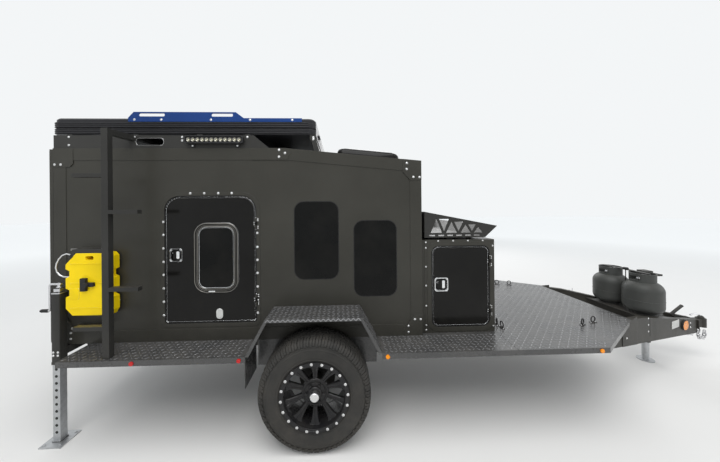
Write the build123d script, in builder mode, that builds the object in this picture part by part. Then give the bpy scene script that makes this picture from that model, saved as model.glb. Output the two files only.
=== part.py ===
from build123d import *
from math import atan2, cos, hypot, pi, sin, tan
import os

# Off-road teardrop trailer with a hard-shell roof tent. Millimetres, +X forward, +Z up.
# The origin is on the ground, below the middle of the trailer's overall box.

os.makedirs("parts", exist_ok=True)

# Cabin
cabin_behind_axle = 1951.0
cabin_length = 2770.0
cabin_half = 700.0
wall = 40.0
roof_z = 2125.0
flat_roof_length = 1716.0
roof_drop = 99.0
hatch_gap = 5.0
hatch_thick = 24.0
handle_reach = 5.0

# Deck and tongue
deck_top_z = 665.0
deck_plate = 4.0
deck_skirt = 38.0
deck_half = 950.0
deck_straight = 1253.0
deck_nose = 647.0
nose_half = 520.0
tongue_length = 1276.0
coupler_length = 150.0

# Every place along X is worked out from the axle, which sits so that the overall box is centred
rear_reach = cabin_behind_axle + hatch_gap + hatch_thick + handle_reach
front_reach = cabin_length - cabin_behind_axle + deck_straight + deck_nose + tongue_length + coupler_length
axle_x = (rear_reach - front_reach) / 2
cabin_rear_x = axle_x - cabin_behind_axle
cabin_front_x = cabin_rear_x + cabin_length
roof_break_x = cabin_rear_x + flat_roof_length
roof_front_z = roof_z - roof_drop
roof_slope = roof_drop / (cabin_front_x - roof_break_x)
deck_corner_x = cabin_front_x + deck_straight
nose_x = deck_corner_x + deck_nose
tongue_tip_x = nose_x + tongue_length
coupler_nose_x = tongue_tip_x + coupler_length
frame_top_z = deck_top_z - deck_plate
door_gap = 5.0
fit_gap = 0.3

# Chassis
rail_centre_y = 470.0
rail_width = 50.0
rail_height = 100.0
cross_width = 50.0
cross_height = 50.0
rail_rear_inset = 40.0
rail_front_inset = 100.0
cross_end_inset = 70.0

# Wheels and suspension
tyre_radius = 388.0
tyre_width = 250.0
wheel_centre_y = 845.0
bead_radius = 216.0
rim_wall = 9.0
rim_half = 108.0
disc_thick = 16.0
disc_out = 52.0
hub_radius = 52.0
spindle_radius = 22.0
spindle_end_y = 792.0
spindle_end_gap = 5.0
spindle_boss = 36.0
spindle_boss_radius = 48.0
running_clearance = 0.05
drum_radius = 135.0
drum_width = 62.0
arm_reach = 480.0
arm_pivot_z = 560.0
arm_inner_y = 560.0
arm_outer_y = 640.0
spring_radius = 66.0
spring_back = 60.0
spring_seat_z = 436.0

# Fenders
fender_half_top = 330.0
fender_half_foot = 465.0
fender_top_z = 913.0
fender_plate = 4.0
fender_hem = 22.0
flap_bottom_z = 452.0

# Wheel wells: flat plates behind the tyres
well_inner_y = 667.0
well_plate = 4.0
well_half = 462.0
well_bottom_z = 450.0

# Cabin doors, their windows and the side windows
door_ahead = -1142.0
door_width = 680.0
door_bottom_z = 800.0
door_height = 959.0
door_corner = 110.0
door_low_corner = 20.0
pane_ahead = 249.0
pane_width = 267.0
pane_above = 259.0
pane_height = 467.0
pane_corner = 60.0
pane_frame = 30.0
pane_frame_proud = 8.0
glass = 6.0
door_ring = 26.0
band_plate = 3.0
band_width = 90.0

# Latches
latch_frame = 13.0
latch_proud = 3.0
latch_pocket = 17.0

# Hinges
hinge_radius = 8.0
hinge_out = 8.6
hinge_leaf = 24.0
knuckle = 28.0
knuckle_gap = 1.0
pin_radius = 4.0


def widened(limits, by):
    """A pair of limits, moved apart by the same amount on both sides."""
    return (limits[0] - by, limits[1] + by)


def slab(x, y, z, mode=Mode.ADD):
    """A box between three pairs of limits."""
    with Locations(((x[0] + x[1]) / 2, (y[0] + y[1]) / 2, (z[0] + z[1]) / 2)):
        Box(x[1] - x[0], y[1] - y[0], z[1] - z[0], mode=mode)


def side_plate(points, inner_y, thickness, mode=Mode.ADD):
    """A flat plate of an outline in X and Z, on the right-hand side from inner_y outwards."""
    with BuildSketch(Plane.XZ.offset(inner_y)) as outline:
        with BuildLine():
            Polyline(*points, close=True)
        make_face()
    extrude(outline.sketch, amount=thickness, mode=mode)


def rounded_plate(x, z, corner, inner_y, thickness, mode=Mode.ADD):
    """A rounded rectangle in X and Z, on the right-hand side from inner_y outwards."""
    with BuildSketch(Plane.XZ.offset(inner_y)) as outline:
        with Locations(((x[0] + x[1]) / 2, (z[0] + z[1]) / 2)):
            RectangleRounded(x[1] - x[0], z[1] - z[0], corner)
    extrude(outline.sketch, amount=thickness, mode=mode)


def door_shape(x, z, top_corner, low_corner, inner_y, thickness, mode=Mode.ADD):
    """A door's outline, with large top corners and small low ones, on the right-hand side."""
    with BuildSketch(Plane.XZ.offset(inner_y)) as outline:
        with Locations(((x[0] + x[1]) / 2, (z[0] + z[1]) / 2)):
            Rectangle(x[1] - x[0], z[1] - z[0])
        fillet(outline.vertices().group_by(Axis.Y)[-1], top_corner)
        fillet(outline.vertices().group_by(Axis.Y)[0], low_corner)
    extrude(outline.sketch, amount=thickness, mode=mode)


def plan_plate(points, low_z, thickness, mode=Mode.ADD):
    """A flat plate of an outline in X and Y, from low_z upwards."""
    with BuildSketch(Plane.XY.offset(low_z)) as outline:
        with BuildLine():
            Polyline(*points, close=True)
        make_face()
    extrude(outline.sketch, amount=thickness, mode=mode)


def post(x, y, z, radius, mode=Mode.ADD):
    """An upright round bar between two heights."""
    with Locations((x, y, (z[0] + z[1]) / 2)):
        Cylinder(radius, z[1] - z[0], mode=mode)


def cross_bar(x, z, y, radius, mode=Mode.ADD):
    """A round bar along Y between two places."""
    with Locations((x, (y[0] + y[1]) / 2, z)):
        Cylinder(radius, abs(y[1] - y[0]), rotation=(90, 0, 0), mode=mode)


def wheel_ring(profile, centre_y, mode=Mode.ADD):
    """A ring about the wheel axis. The profile gives places along Y from the wheel's middle, and radii."""
    centre = (axle_x, centre_y, tyre_radius)
    with BuildSketch(Plane(origin=centre, x_dir=(0, 1, 0), z_dir=(1, 0, 0))) as section:
        with BuildLine():
            Polyline(*profile, close=True)
        make_face()
    revolve(section.sketch, axis=Axis(centre, (0, 1, 0)), mode=mode)


def fixed_hinge(x, face, heights):
    """The fixed half of a door's hinges: outer knuckles, pin and leaf, on the right-hand side."""
    y = -(face + hinge_out)
    reach = 1.5 * knuckle + knuckle_gap
    for z in heights:
        for low in (z - reach, z + reach - knuckle):
            post(x, y, (low, low + knuckle), hinge_radius)
            slab((x, x + hinge_leaf), (-face - band_plate, -face), (low, low + knuckle))
        post(x, y, (z - reach, z + reach), pin_radius)


def moving_hinge(x, face, heights):
    """The door's half of its hinges: a middle knuckle round the pin, and its leaf."""
    y = -(face + hinge_out)
    for z in heights:
        post(x, y, (z - knuckle / 2, z + knuckle / 2), hinge_radius)
        slab((x - hinge_leaf, x), (-face - band_plate, -face), (z - knuckle / 2, z + knuckle / 2))
        post(x, y, (z - knuckle, z + knuckle), pin_radius + running_clearance, mode=Mode.SUBTRACT)


def hinge_notch(x, face, heights):
    """Room for the moving knuckles in the trim round a door."""
    for z in heights:
        slab(
            (x - hinge_leaf, x + hinge_radius + 1),
            (-face - band_plate, -face),
            (z - knuckle / 2 - knuckle_gap, z + knuckle / 2 + knuckle_gap),
            mode=Mode.SUBTRACT,
        )


def roof_height(x):
    """Height of the roof's top at a place along X."""
    return roof_z - max(0.0, x - roof_break_x) * roof_slope


def latch(x, z, face):
    """A paddle latch on the right-hand side: a proud rounded frame, a pocket and the paddle in it."""
    rounded_plate(x, z, 16, face, latch_proud)
    pocket_x = widened(x, -latch_frame)
    pocket_z = widened(z, -latch_frame)
    rounded_plate(pocket_x, pocket_z, 8, face - latch_pocket, 2 * latch_pocket, mode=Mode.SUBTRACT)
    paddle_x = widened(pocket_x, -8)
    rounded_plate(paddle_x, widened(pocket_z, -5), 6, face - latch_pocket, latch_pocket - latch_proud)


def finish(piece, label):
    """Name a finished piece and write it out."""
    piece.part.label = label
    export_step(piece.part, f"parts/{label}.step")


# Chassis rails, closed tubes below the crossmembers
rail_top_z = frame_top_z - cross_height
rail_bottom_z = rail_top_z - rail_height
rail_outer_y = rail_centre_y + rail_width / 2
with BuildPart() as chassis_rails:
    for side in (-1, 1):
        inner = side * rail_centre_y - rail_width / 2
        slab(
            (cabin_rear_x + rail_rear_inset, nose_x - rail_front_inset),
            (inner, inner + rail_width),
            (rail_bottom_z, rail_top_z),
        )
finish(chassis_rails, "chassis_rails")

# Tongue: two deep plate-built beams, from under the deck's corners to the coupler
beam_width = 50.0
beam_tip_y = 48.0
beam_kink = 215.0
beam_kink_drop = 15.0
beam_tip_top_z = 438.0
beam_root_bottom_z = 442.0
beam_tip_bottom_z = 298.0
neck_half = 30.0
beam_angle = atan2(nose_half - beam_tip_y, tongue_length)
beam_run = hypot(tongue_length, nose_half - beam_tip_y)
beam_fall = (frame_top_z - beam_kink_drop - beam_tip_top_z) / (beam_run - beam_kink)
beam_rise = (beam_root_bottom_z - beam_tip_bottom_z) / beam_run
beam_root_x = deck_corner_x + cross_width / 2 - 10.0
beam_back = (nose_x - beam_root_x) / cos(beam_angle) + beam_width
beam_over = 60.0
cover_back = 150.0
cover_run = 96.0
cover_plate = 4.0
beam_plane = Plane(
    origin=(nose_x, -nose_half, 0),
    x_dir=(cos(beam_angle), sin(beam_angle), 0),
    z_dir=(sin(beam_angle), -cos(beam_angle), 0),
)


def beam_top(run):
    """Height of a beam's top, at a distance along it from the nose."""
    return frame_top_z - beam_kink_drop - beam_fall * (run - beam_kink)


beam_outline = [
    (-beam_back, frame_top_z),
    (0, frame_top_z),
    (beam_kink, frame_top_z - beam_kink_drop),
    (beam_run + beam_over, beam_top(beam_run + beam_over)),
    (beam_run + beam_over, beam_root_bottom_z - beam_rise * (beam_run + beam_over)),
    (-beam_back, beam_root_bottom_z + beam_rise * beam_back),
]
with BuildPart() as beam_right:
    with BuildSketch(beam_plane):
        with BuildLine():
            Polyline(*beam_outline, close=True)
        make_face()
    extrude(amount=-beam_width)
    with BuildSketch(beam_plane):
        with BuildLine():
            Polyline(
                (-cover_back, frame_top_z - 2),
                (0, frame_top_z - 2),
                (cover_run, beam_top(cover_run) + cover_run * 0.09),
                (cover_run, beam_root_bottom_z - beam_rise * cover_run),
                (-cover_back, beam_root_bottom_z + beam_rise * cover_back),
                close=True,
            )
        make_face()
    extrude(amount=cover_plate)
    slab((tongue_tip_x, tongue_tip_x + 200), (-200, 200), (200, 700), mode=Mode.SUBTRACT)
    slab((0, beam_root_x), (-1200, 0), (200, 800), mode=Mode.SUBTRACT)
    slab((nose_x, tongue_tip_x + 200), (-neck_half, 200), (200, 700), mode=Mode.SUBTRACT)
with BuildPart() as tongue_beams:
    add(beam_right.part)
    mirror(beam_right.part, about=Plane.XZ)
finish(tongue_beams, "tongue_beams")

# Crossmembers: distance ahead of the axle, half length
jack_inner_y = 732.0
rear_jack_ahead = 97.0 - cabin_behind_axle
crossmembers = [
    (rear_jack_ahead, jack_inner_y),
    (-1330.0, deck_half - cross_end_inset),
    (-510.0, deck_half - cross_end_inset),
    (-spring_back, well_inner_y),
    (510.0, deck_half - cross_end_inset),
    (1115.0, deck_half - cross_end_inset),
    (1640.0, deck_half - cross_end_inset),
    (deck_corner_x - axle_x - 10.0, deck_half - cross_end_inset),
    (nose_x - axle_x - 35.0, 455.0),
]
with BuildPart() as chassis_crossmembers:
    for ahead, half in crossmembers:
        middle = axle_x + ahead
        slab((middle - cross_width / 2, middle + cross_width / 2), (-half, half), (rail_top_z, frame_top_z))
finish(chassis_crossmembers, "chassis_crossmembers")

# Coupler: a neck between the beams, a ball socket and a latch, with the brake lever behind it
ball_bore = 25.3
socket_radius = 40.0
socket_depth = 46.0
neck_back = 170.0
neck_z = (beam_tip_bottom_z + 50.0, beam_tip_top_z - 10.0)
socket_x = coupler_nose_x - socket_radius
socket_z = (neck_z[0] - 6.0, neck_z[1] + 6.0)
coupler_plate = 12.0
coupler_plate_half = 62.0
coupler_plate_over = 8.0
lever_half = 9.0
lever_foot_x = tongue_tip_x - neck_back
with BuildPart() as coupler:
    slab((tongue_tip_x - neck_back, socket_x), (-neck_half, neck_half), neck_z)
    post(socket_x, 0, socket_z, socket_radius)
    with Locations((socket_x, 0, socket_z[1])):
        Sphere(socket_radius * 0.7)
    post(socket_x, 0, (socket_z[0], socket_z[0] + socket_depth), ball_bore, mode=Mode.SUBTRACT)
    slab(
        (tongue_tip_x, tongue_tip_x + coupler_plate),
        (-coupler_plate_half, coupler_plate_half),
        widened(neck_z, coupler_plate_over),
    )
    side_plate(
        [
            (lever_foot_x + 20, neck_z[1]),
            (lever_foot_x - 70, neck_z[1] + 60),
            (lever_foot_x + 60, neck_z[1] + 155),
            (lever_foot_x + 78, neck_z[1] + 140),
            (lever_foot_x - 30, neck_z[1] + 62),
            (lever_foot_x + 70, neck_z[1]),
        ],
        -lever_half,
        2 * lever_half,
    )
finish(coupler, "coupler")

# Safety chains: open links hung in a loop below the coupler's plate, fused where they meet
link_length = 44.0
link_width = 32.0
link_wire = 8.0
link_pitch = link_length - 2 * link_wire + 0.5
chain_y = 46.0
chain_z = neck_z[0] + 12.0
chain_x = tongue_tip_x + coupler_plate + link_wire / 2

# Turn from one link to the next, in degrees
chain_turns = (0, 0, 0, 15, 50, 55, 40, 20)
with BuildPart() as safety_chains:
    for side in (-1, 1):
        x = chain_x
        z = chain_z
        heading = -pi / 2
        for count, turn in enumerate(chain_turns):
            heading += turn * pi / 180
            x += link_pitch * cos(heading)
            z += link_pitch * sin(heading)
            along = (cos(heading), 0, sin(heading))
            flat = (0, -1, 0) if count % 2 else (sin(heading), 0, -cos(heading))
            with BuildSketch(Plane((x, side * chain_y, z), x_dir=along, z_dir=flat)) as link:
                Rectangle(link_length, link_width)
                chamfer(link.vertices(), link_width / 4)
                Rectangle(link_length - 2 * link_wire, link_width - 2 * link_wire, mode=Mode.SUBTRACT)
            extrude(amount=link_wire / 2, both=True)
finish(safety_chains, "safety_chains")

# Tongue jack: an outer tube through a plate between the beams, and a drop leg with a round foot
jack_ahead = 3475.0
jack_x = axle_x + jack_ahead
jack_tube_radius = 35.0
jack_leg_radius = 29.0
jack_tube_z = (205.0, 930.0)
jack_plate_z = (508.0, 516.0)
jack_plate_half_x = 62.0
jack_collar_z = (199.0, 219.0)
jack_collar_radius = 40.0
jack_cap_height = 34.0
jack_cap_half = 42.0
jack_bore_top_z = 900.0
crank_end_y = -140.0
crank_radius = 9.0
crank_arm = 100.0
jack_foot_radius = 70.0
jack_foot_thick = 8.0
jack_leg_top_z = 620.0


def beam_inner_y(x):
    """Distance of a beam's inner face from the middle plane, at a place along X."""
    return nose_half - (x - nose_x) * tan(beam_angle) - beam_width / cos(beam_angle)


with BuildPart() as tongue_jack_tube:
    post(jack_x, 0, jack_tube_z, jack_tube_radius)
    near = jack_x - jack_plate_half_x
    far = jack_x + jack_plate_half_x
    plan_plate(
        [
            (near, -beam_inner_y(near) + fit_gap),
            (far, -beam_inner_y(far) + fit_gap),
            (far, beam_inner_y(far) - fit_gap),
            (near, beam_inner_y(near) - fit_gap),
        ],
        jack_plate_z[0],
        jack_plate_z[1] - jack_plate_z[0],
    )
    post(jack_x, 0, jack_collar_z, jack_collar_radius)
    post(jack_x, 0, (jack_collar_z[0], jack_bore_top_z), jack_leg_radius + fit_gap, mode=Mode.SUBTRACT)
    cap = (jack_x - jack_cap_half, jack_x + jack_cap_half)
    slab(cap, (-jack_cap_half, jack_cap_half), (jack_tube_z[1], jack_tube_z[1] + jack_cap_height))
    crank_z = jack_tube_z[1] + jack_cap_height / 2
    cross_bar(jack_x, crank_z, (crank_end_y, -jack_cap_half), crank_radius)
    arm_x = (jack_x - crank_arm, jack_x + crank_radius)
    slab(arm_x, (crank_end_y - 10, crank_end_y), (crank_z - crank_radius, crank_z + crank_radius))
finish(tongue_jack_tube, "tongue_jack_tube")

with BuildPart() as tongue_jack_leg:
    post(jack_x, 0, (0, jack_foot_thick), jack_foot_radius)
    post(jack_x, 0, (jack_foot_thick, jack_leg_top_z), jack_leg_radius)
finish(tongue_jack_leg, "tongue_jack_leg")

# Rear corner jacks: square tubes on the rear crossmember's ends, with square drop legs
rear_jack_x = axle_x + rear_jack_ahead
rear_tube = 58.0
rear_tube_wall = 4.0
rear_tube_z = (560.0, 1072.0)
rear_leg = rear_tube - 2 * rear_tube_wall - 2 * fit_gap
rear_leg_top_z = 730.0
rear_foot_half = 75.0
rear_foot_thick = 8.0
rear_jack_y = jack_inner_y + rear_tube / 2

# Cranks on the rear jacks: a gear head, an arm that hangs down behind the tube, and a grip
crank_head_half = 22.0
crank_head_z = 1112.0
crank_top_z = 1135.0
crank_low_z = 940.0
crank_flat = 10.0
crank_grip = 72.0
crank_grip_radius = 11.0
crank_x = rear_jack_x - rear_tube / 2 - 15.0
with BuildPart() as crank_right:
    head_x = (rear_jack_x - crank_head_half, rear_jack_x + crank_head_half)
    slab(head_x, widened((-rear_jack_y, -rear_jack_y), crank_head_half), (rear_tube_z[1], crank_head_z))
    post(rear_jack_x, -rear_jack_y, (crank_head_z, crank_top_z), 12)
    arm_y = widened((-rear_jack_y, -rear_jack_y), crank_flat)
    slab((crank_x, rear_jack_x + 40), arm_y, (crank_top_z - crank_flat, crank_top_z))
    slab((crank_x, crank_x + crank_flat), arm_y, (crank_low_z, crank_top_z))
    with Locations((crank_x - crank_grip / 2, -rear_jack_y, crank_low_z)):
        Cylinder(crank_grip_radius, crank_grip, rotation=(0, 90, 0))
with BuildPart() as rear_jack_tubes:
    add(crank_right.part)
    mirror(crank_right.part, about=Plane.XZ)
    for side in (-1, 1):
        middle = side * rear_jack_y
        half = rear_tube / 2
        bore = half - rear_tube_wall
        slab((rear_jack_x - half, rear_jack_x + half), (middle - half, middle + half), rear_tube_z)
        slab(
            (rear_jack_x - bore, rear_jack_x + bore),
            (middle - bore, middle + bore),
            (rear_tube_z[0], rear_tube_z[1] - 6),
            mode=Mode.SUBTRACT,
        )
finish(rear_jack_tubes, "rear_jack_tubes")

for side, label in ((-1, "rear_jack_leg_right"), (1, "rear_jack_leg_left")):
    middle = side * rear_jack_y
    with BuildPart() as rear_jack_leg:
        slab(
            (rear_jack_x - rear_leg / 2, rear_jack_x + rear_leg / 2),
            (middle - rear_leg / 2, middle + rear_leg / 2),
            (rear_foot_thick, rear_leg_top_z),
        )
        slab(
            (rear_jack_x - rear_foot_half, rear_jack_x + rear_foot_half),
            (middle - rear_foot_half, middle + rear_foot_half),
            (0, rear_foot_thick),
        )
    finish(rear_jack_leg, label)

# Gas bottles on a tray over the beams, held by a clamp bar on a rod between their collars
bottle_ahead = 3260.0
bottle_x = axle_x + bottle_ahead
bottle_y = 158.0
bottle_radius = 152.0
bottle_z = (575.0, 975.0)
bottle_shoulder = 82.0
collar_radius = 98.0
collar_height = 82.0
collar_wall = 4.0
tray_plate = 6.0
tray_half_x = 150.0
seam_z = 715.0
seam_proud = 1.5
foot_rise = 16.0
foot_ring = 30.0
neck_radius = 60.0
hand_half = 48.0
hand_z = (bottle_z[1] - 62.0, bottle_z[1] - 22.0)
valve_z = (bottle_z[1] - 50.0, bottle_z[1] - 26.0)
valve_radius = 34.0
rod_radius = 4.0
clamp_half_x = 20.0
clamp_z = (bottle_z[1] + fit_gap, bottle_z[1] + 8.0)
clamp_knob_radius = 24.0
with BuildPart() as gas_bottles:
    for side in (-1, 1):
        middle = side * bottle_y
        foot = bottle_z[0]
        base = foot + foot_rise
        top = bottle_z[1] - collar_height
        with BuildSketch(Plane(origin=(bottle_x, middle, 0), x_dir=(1, 0, 0), z_dir=(0, -1, 0))):
            with BuildLine():
                Line((0, base), (collar_radius, base))
                ThreePointArc(
                    (collar_radius, base),
                    (bottle_radius - 12, base + 28),
                    (bottle_radius, foot + bottle_shoulder),
                )
                Line((bottle_radius, foot + bottle_shoulder), (bottle_radius, seam_z - 3))
                Line((bottle_radius, seam_z - 3), (bottle_radius + seam_proud, seam_z - 3))
                Line((bottle_radius + seam_proud, seam_z - 3), (bottle_radius + seam_proud, seam_z + 3))
                Line((bottle_radius + seam_proud, seam_z + 3), (bottle_radius, seam_z + 3))
                Line((bottle_radius, seam_z + 3), (bottle_radius, top - bottle_shoulder))
                ThreePointArc(
                    (bottle_radius, top - bottle_shoulder),
                    (bottle_radius - 30, top - 18),
                    (neck_radius, top + 8),
                )
                Line((neck_radius, top + 8), (0, top + 12))
                Line((0, top + 12), (0, base))
            make_face()
        revolve(axis=Axis((bottle_x, middle, 0), (0, 0, 1)))
        for low, height in ((foot, foot_ring), (top - 10, collar_height + 10)):
            with BuildSketch(Plane((bottle_x, middle, low))):
                Circle(collar_radius)
                Circle(collar_radius - collar_wall, mode=Mode.SUBTRACT)
            extrude(amount=height)
        hand_x = widened((bottle_x, bottle_x), collar_radius + 5)
        slab(hand_x, widened((middle, middle), hand_half), hand_z, mode=Mode.SUBTRACT)
        post(bottle_x, middle, (top, valve_z[0]), 20)
        post(bottle_x, middle, valve_z, valve_radius)
finish(gas_bottles, "gas_bottles")

with BuildPart() as bottle_tray:
    tray_rear_x = bottle_x - tray_half_x
    tray_front_x = bottle_x + tray_half_x
    tray_rear_y = beam_inner_y(tray_rear_x) - fit_gap
    tray_front_y = beam_inner_y(tray_front_x) - fit_gap
    plan_plate(
        [
            (tray_rear_x, -tray_rear_y),
            (tray_front_x, -tray_front_y),
            (tray_front_x, tray_front_y),
            (tray_rear_x, tray_rear_y),
        ],
        bottle_z[0] - tray_plate,
        tray_plate,
    )
    post(bottle_x, 0, (bottle_z[0], clamp_z[1] + 16), rod_radius)
    clamp_half_y = bottle_y + 60
    slab((bottle_x - clamp_half_x, bottle_x + clamp_half_x), (-clamp_half_y, clamp_half_y), clamp_z)
    post(bottle_x, 0, (clamp_z[1], clamp_z[1] + 12), clamp_knob_radius)
finish(bottle_tray, "bottle_tray")

# Deck plates: the front deck with its side strips, and the running boards behind the wheels
wheel_front_x = axle_x + fender_half_foot
wheel_rear_x = axle_x - fender_half_foot
board_rear_inset = 261.0
board_rear_x = cabin_rear_x + board_rear_inset
skirt_stop = 60.0
cut_angle = atan2(deck_half - nose_half, deck_nose)
skirt_end_x = nose_x - skirt_stop
skirt_end_y = nose_half + skirt_stop * tan(cut_angle)
with BuildPart() as deck_plates:
    plan_plate(
        [
            (wheel_front_x, -deck_half),
            (deck_corner_x, -deck_half),
            (nose_x, -nose_half),
            (nose_x, nose_half),
            (deck_corner_x, deck_half),
            (wheel_front_x, deck_half),
            (wheel_front_x, cabin_half),
            (cabin_front_x, cabin_half),
            (cabin_front_x, -cabin_half),
            (wheel_front_x, -cabin_half),
        ],
        frame_top_z,
        deck_plate,
    )
    skirt_inner = deck_half - deck_plate
    skirt_inner_end_x = skirt_end_x - deck_plate * sin(cut_angle)
    skirt_inner_end_y = skirt_end_y - deck_plate * cos(cut_angle)
    for side in (-1, 1):
        plan_plate(
            [
                (wheel_front_x, side * deck_half),
                (deck_corner_x, side * deck_half),
                (skirt_end_x, side * skirt_end_y),
                (skirt_inner_end_x, side * skirt_inner_end_y),
                (deck_corner_x - deck_plate * tan(cut_angle / 2), side * skirt_inner),
                (wheel_front_x, side * skirt_inner),
            ],
            deck_top_z - deck_skirt,
            deck_skirt - deck_plate,
        )
        board_y = sorted((side * cabin_half, side * deck_half))
        skirt_z = (deck_top_z - deck_skirt, frame_top_z)
        slab((board_rear_x, wheel_rear_x), board_y, (frame_top_z, deck_top_z))
        slab((board_rear_x, wheel_rear_x), sorted((side * skirt_inner, side * deck_half)), skirt_z)
        slab((board_rear_x, board_rear_x + deck_plate), board_y, skirt_z)
finish(deck_plates, "deck_plates")

# Fenders: a folded plate over each wheel, with a hem along its outer edge and a flap behind
with BuildPart() as fender_right:
    lean = atan2(fender_half_foot - fender_half_top, fender_top_z - deck_top_z)
    thick = fender_plate / cos(lean)
    side_plate(
        [
            (axle_x - fender_half_foot, deck_top_z),
            (axle_x - fender_half_top, fender_top_z),
            (axle_x + fender_half_top, fender_top_z),
            (axle_x + fender_half_foot, deck_top_z),
            (axle_x + fender_half_foot - thick, deck_top_z),
            (axle_x + fender_half_top - fender_plate * tan(lean / 2 + 0.35), fender_top_z - fender_plate),
            (axle_x - fender_half_top + fender_plate * tan(lean / 2 + 0.35), fender_top_z - fender_plate),
            (axle_x - fender_half_foot + thick, deck_top_z),
        ],
        cabin_half + band_plate,
        deck_half - cabin_half - band_plate,
    )
    hem = fender_hem / cos(lean)
    side_plate(
        [
            (axle_x - fender_half_foot, deck_top_z),
            (axle_x - fender_half_top, fender_top_z),
            (axle_x + fender_half_top, fender_top_z),
            (axle_x + fender_half_foot, deck_top_z),
            (axle_x + fender_half_foot - hem, deck_top_z),
            (axle_x + fender_half_top - fender_hem * 0.5, fender_top_z - fender_hem),
            (axle_x - fender_half_top + fender_hem * 0.5, fender_top_z - fender_hem),
            (axle_x - fender_half_foot + hem, deck_top_z),
        ],
        deck_half - fender_plate,
        fender_plate,
    )
    slab(
        (axle_x - fender_half_foot, axle_x - fender_half_foot + fender_plate),
        (-deck_half, -cabin_half - 15),
        (flap_bottom_z, deck_top_z),
    )
    well_y = (-well_inner_y - well_plate, -well_inner_y)
    slab((axle_x - well_half, axle_x + well_half), well_y, (well_bottom_z, frame_top_z))
with BuildPart() as fenders:
    add(fender_right.part)
    mirror(fender_right.part, about=Plane.XZ)
finish(fenders, "fenders")

# Trailing arms with the spindles that carry the wheels, pivoted beside the rails
with BuildPart() as arm_right:
    side_plate(
        [
            (axle_x + arm_reach + 40, arm_pivot_z + 28),
            (axle_x + arm_reach + 40, arm_pivot_z - 34),
            (axle_x + 20, tyre_radius - 48),
            (axle_x - spring_back - 70, tyre_radius - 48),
            (axle_x - spring_back - 70, spring_seat_z),
            (axle_x + 60, spring_seat_z),
            (axle_x + arm_reach - 60, arm_pivot_z + 28),
        ],
        arm_inner_y,
        arm_outer_y - arm_inner_y,
    )
    cross_bar(axle_x + arm_reach, arm_pivot_z, (-arm_outer_y, -rail_outer_y), 32)
    cross_bar(axle_x, tyre_radius, (-spindle_end_y, -arm_outer_y), spindle_radius)
    cross_bar(axle_x, tyre_radius, (-arm_outer_y - spindle_boss, -arm_outer_y), spindle_boss_radius)
with BuildPart() as trailing_arms:
    add(arm_right.part)
    mirror(arm_right.part, about=Plane.XZ)
finish(trailing_arms, "trailing_arms")

# Air springs between the arms and the crossmember above the axle
spring_y = (arm_inner_y + arm_outer_y) / 2
with BuildPart() as air_springs:
    height = rail_top_z - spring_seat_z
    for side in (-1, 1):
        spring_foot = (axle_x - spring_back, side * spring_y, 0)
        with BuildSketch(Plane(origin=spring_foot, x_dir=(1, 0, 0), z_dir=(0, -1, 0))):
            with BuildLine():
                Line((0, spring_seat_z), (spring_radius * 0.75, spring_seat_z))
                for step in range(3):
                    ThreePointArc(
                        (spring_radius * 0.75, spring_seat_z + height * step / 3),
                        (spring_radius, spring_seat_z + height * (2 * step + 1) / 6),
                        (spring_radius * 0.75, spring_seat_z + height * (step + 1) / 3),
                    )
                Line((spring_radius * 0.75, rail_top_z), (0, rail_top_z))
                Line((0, rail_top_z), (0, spring_seat_z))
            make_face()
        revolve(axis=Axis(spring_foot, (0, 0, 1)))
finish(air_springs, "air_springs")

# Wheels: tyre, and a black disc wheel with its brake drum and hub
tyre_half = tyre_width / 2
tread_radius = tyre_radius - 11.0
lug_count = 32
lug_width = 42.0
lug_length = 58.0
lug_low_radius = tyre_radius - 37.0
lug_top_radius = (tyre_radius**2 - (lug_length / 2) ** 2) ** 0.5

# Rings of the tyre's faceted body: place across the tyre and radius of the corners
tyre_rings = [
    (-tyre_half + 32, bead_radius + 4),
    (-tyre_half + 6, bead_radius + 34),
    (-tyre_half, tyre_radius - 85),
    (-tyre_half + 8, tyre_radius - 40),
    (-tyre_half + 24, tread_radius),
    (tyre_half - 24, tread_radius),
    (tyre_half - 8, tyre_radius - 40),
    (tyre_half, tyre_radius - 85),
    (tyre_half - 6, bead_radius + 34),
    (tyre_half - 32, bead_radius + 4),
]

# Rows of shoulder lugs: place across the tyre, and turn in lug steps
lug_table = [(-tyre_half + 24, 0.0), (tyre_half - 24, 0.5)]
ring_radius = 236.0
ring_out = 122.0
ring_thick = 12.0
spoke_count = 10
hub_face_radius = 86.0
cap_radius = 29.0
cap_out = 124.0
window_in = 94.0
window_out = 192.0
window_in_half = 12.0
window_out_half = 29.0


def tyre_plane(across):
    """The plane across the right-hand tyre at a place along its axle."""
    return Plane(origin=(axle_x, -wheel_centre_y + across, tyre_radius), x_dir=(1, 0, 0), z_dir=(0, -1, 0))


with BuildPart() as tyre_right:
    for across, radius in tyre_rings:
        with BuildSketch(tyre_plane(across)):
            RegularPolygon(radius, lug_count, rotation=180 / lug_count)
    loft(ruled=True)
    with BuildSketch(tyre_plane(0)):
        RegularPolygon(bead_radius, lug_count, major_radius=False, rotation=180 / lug_count)
    extrude(amount=tyre_width, both=True, mode=Mode.SUBTRACT)
    for across, turn in lug_table:
        lug_middle = (lug_low_radius + lug_top_radius) / 2
        with BuildSketch(tyre_plane(across)) as lugs:
            with PolarLocations(lug_middle, lug_count, start_angle=turn * 360 / lug_count):
                Rectangle(lug_top_radius - lug_low_radius, lug_length)
        extrude(lugs.sketch, amount=lug_width / 2, both=True)
finish(tyre_right, "tyre_right")

with BuildPart() as tyre_left:
    mirror(tyre_right.part, about=Plane.XZ)
finish(tyre_left, "tyre_left")

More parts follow.
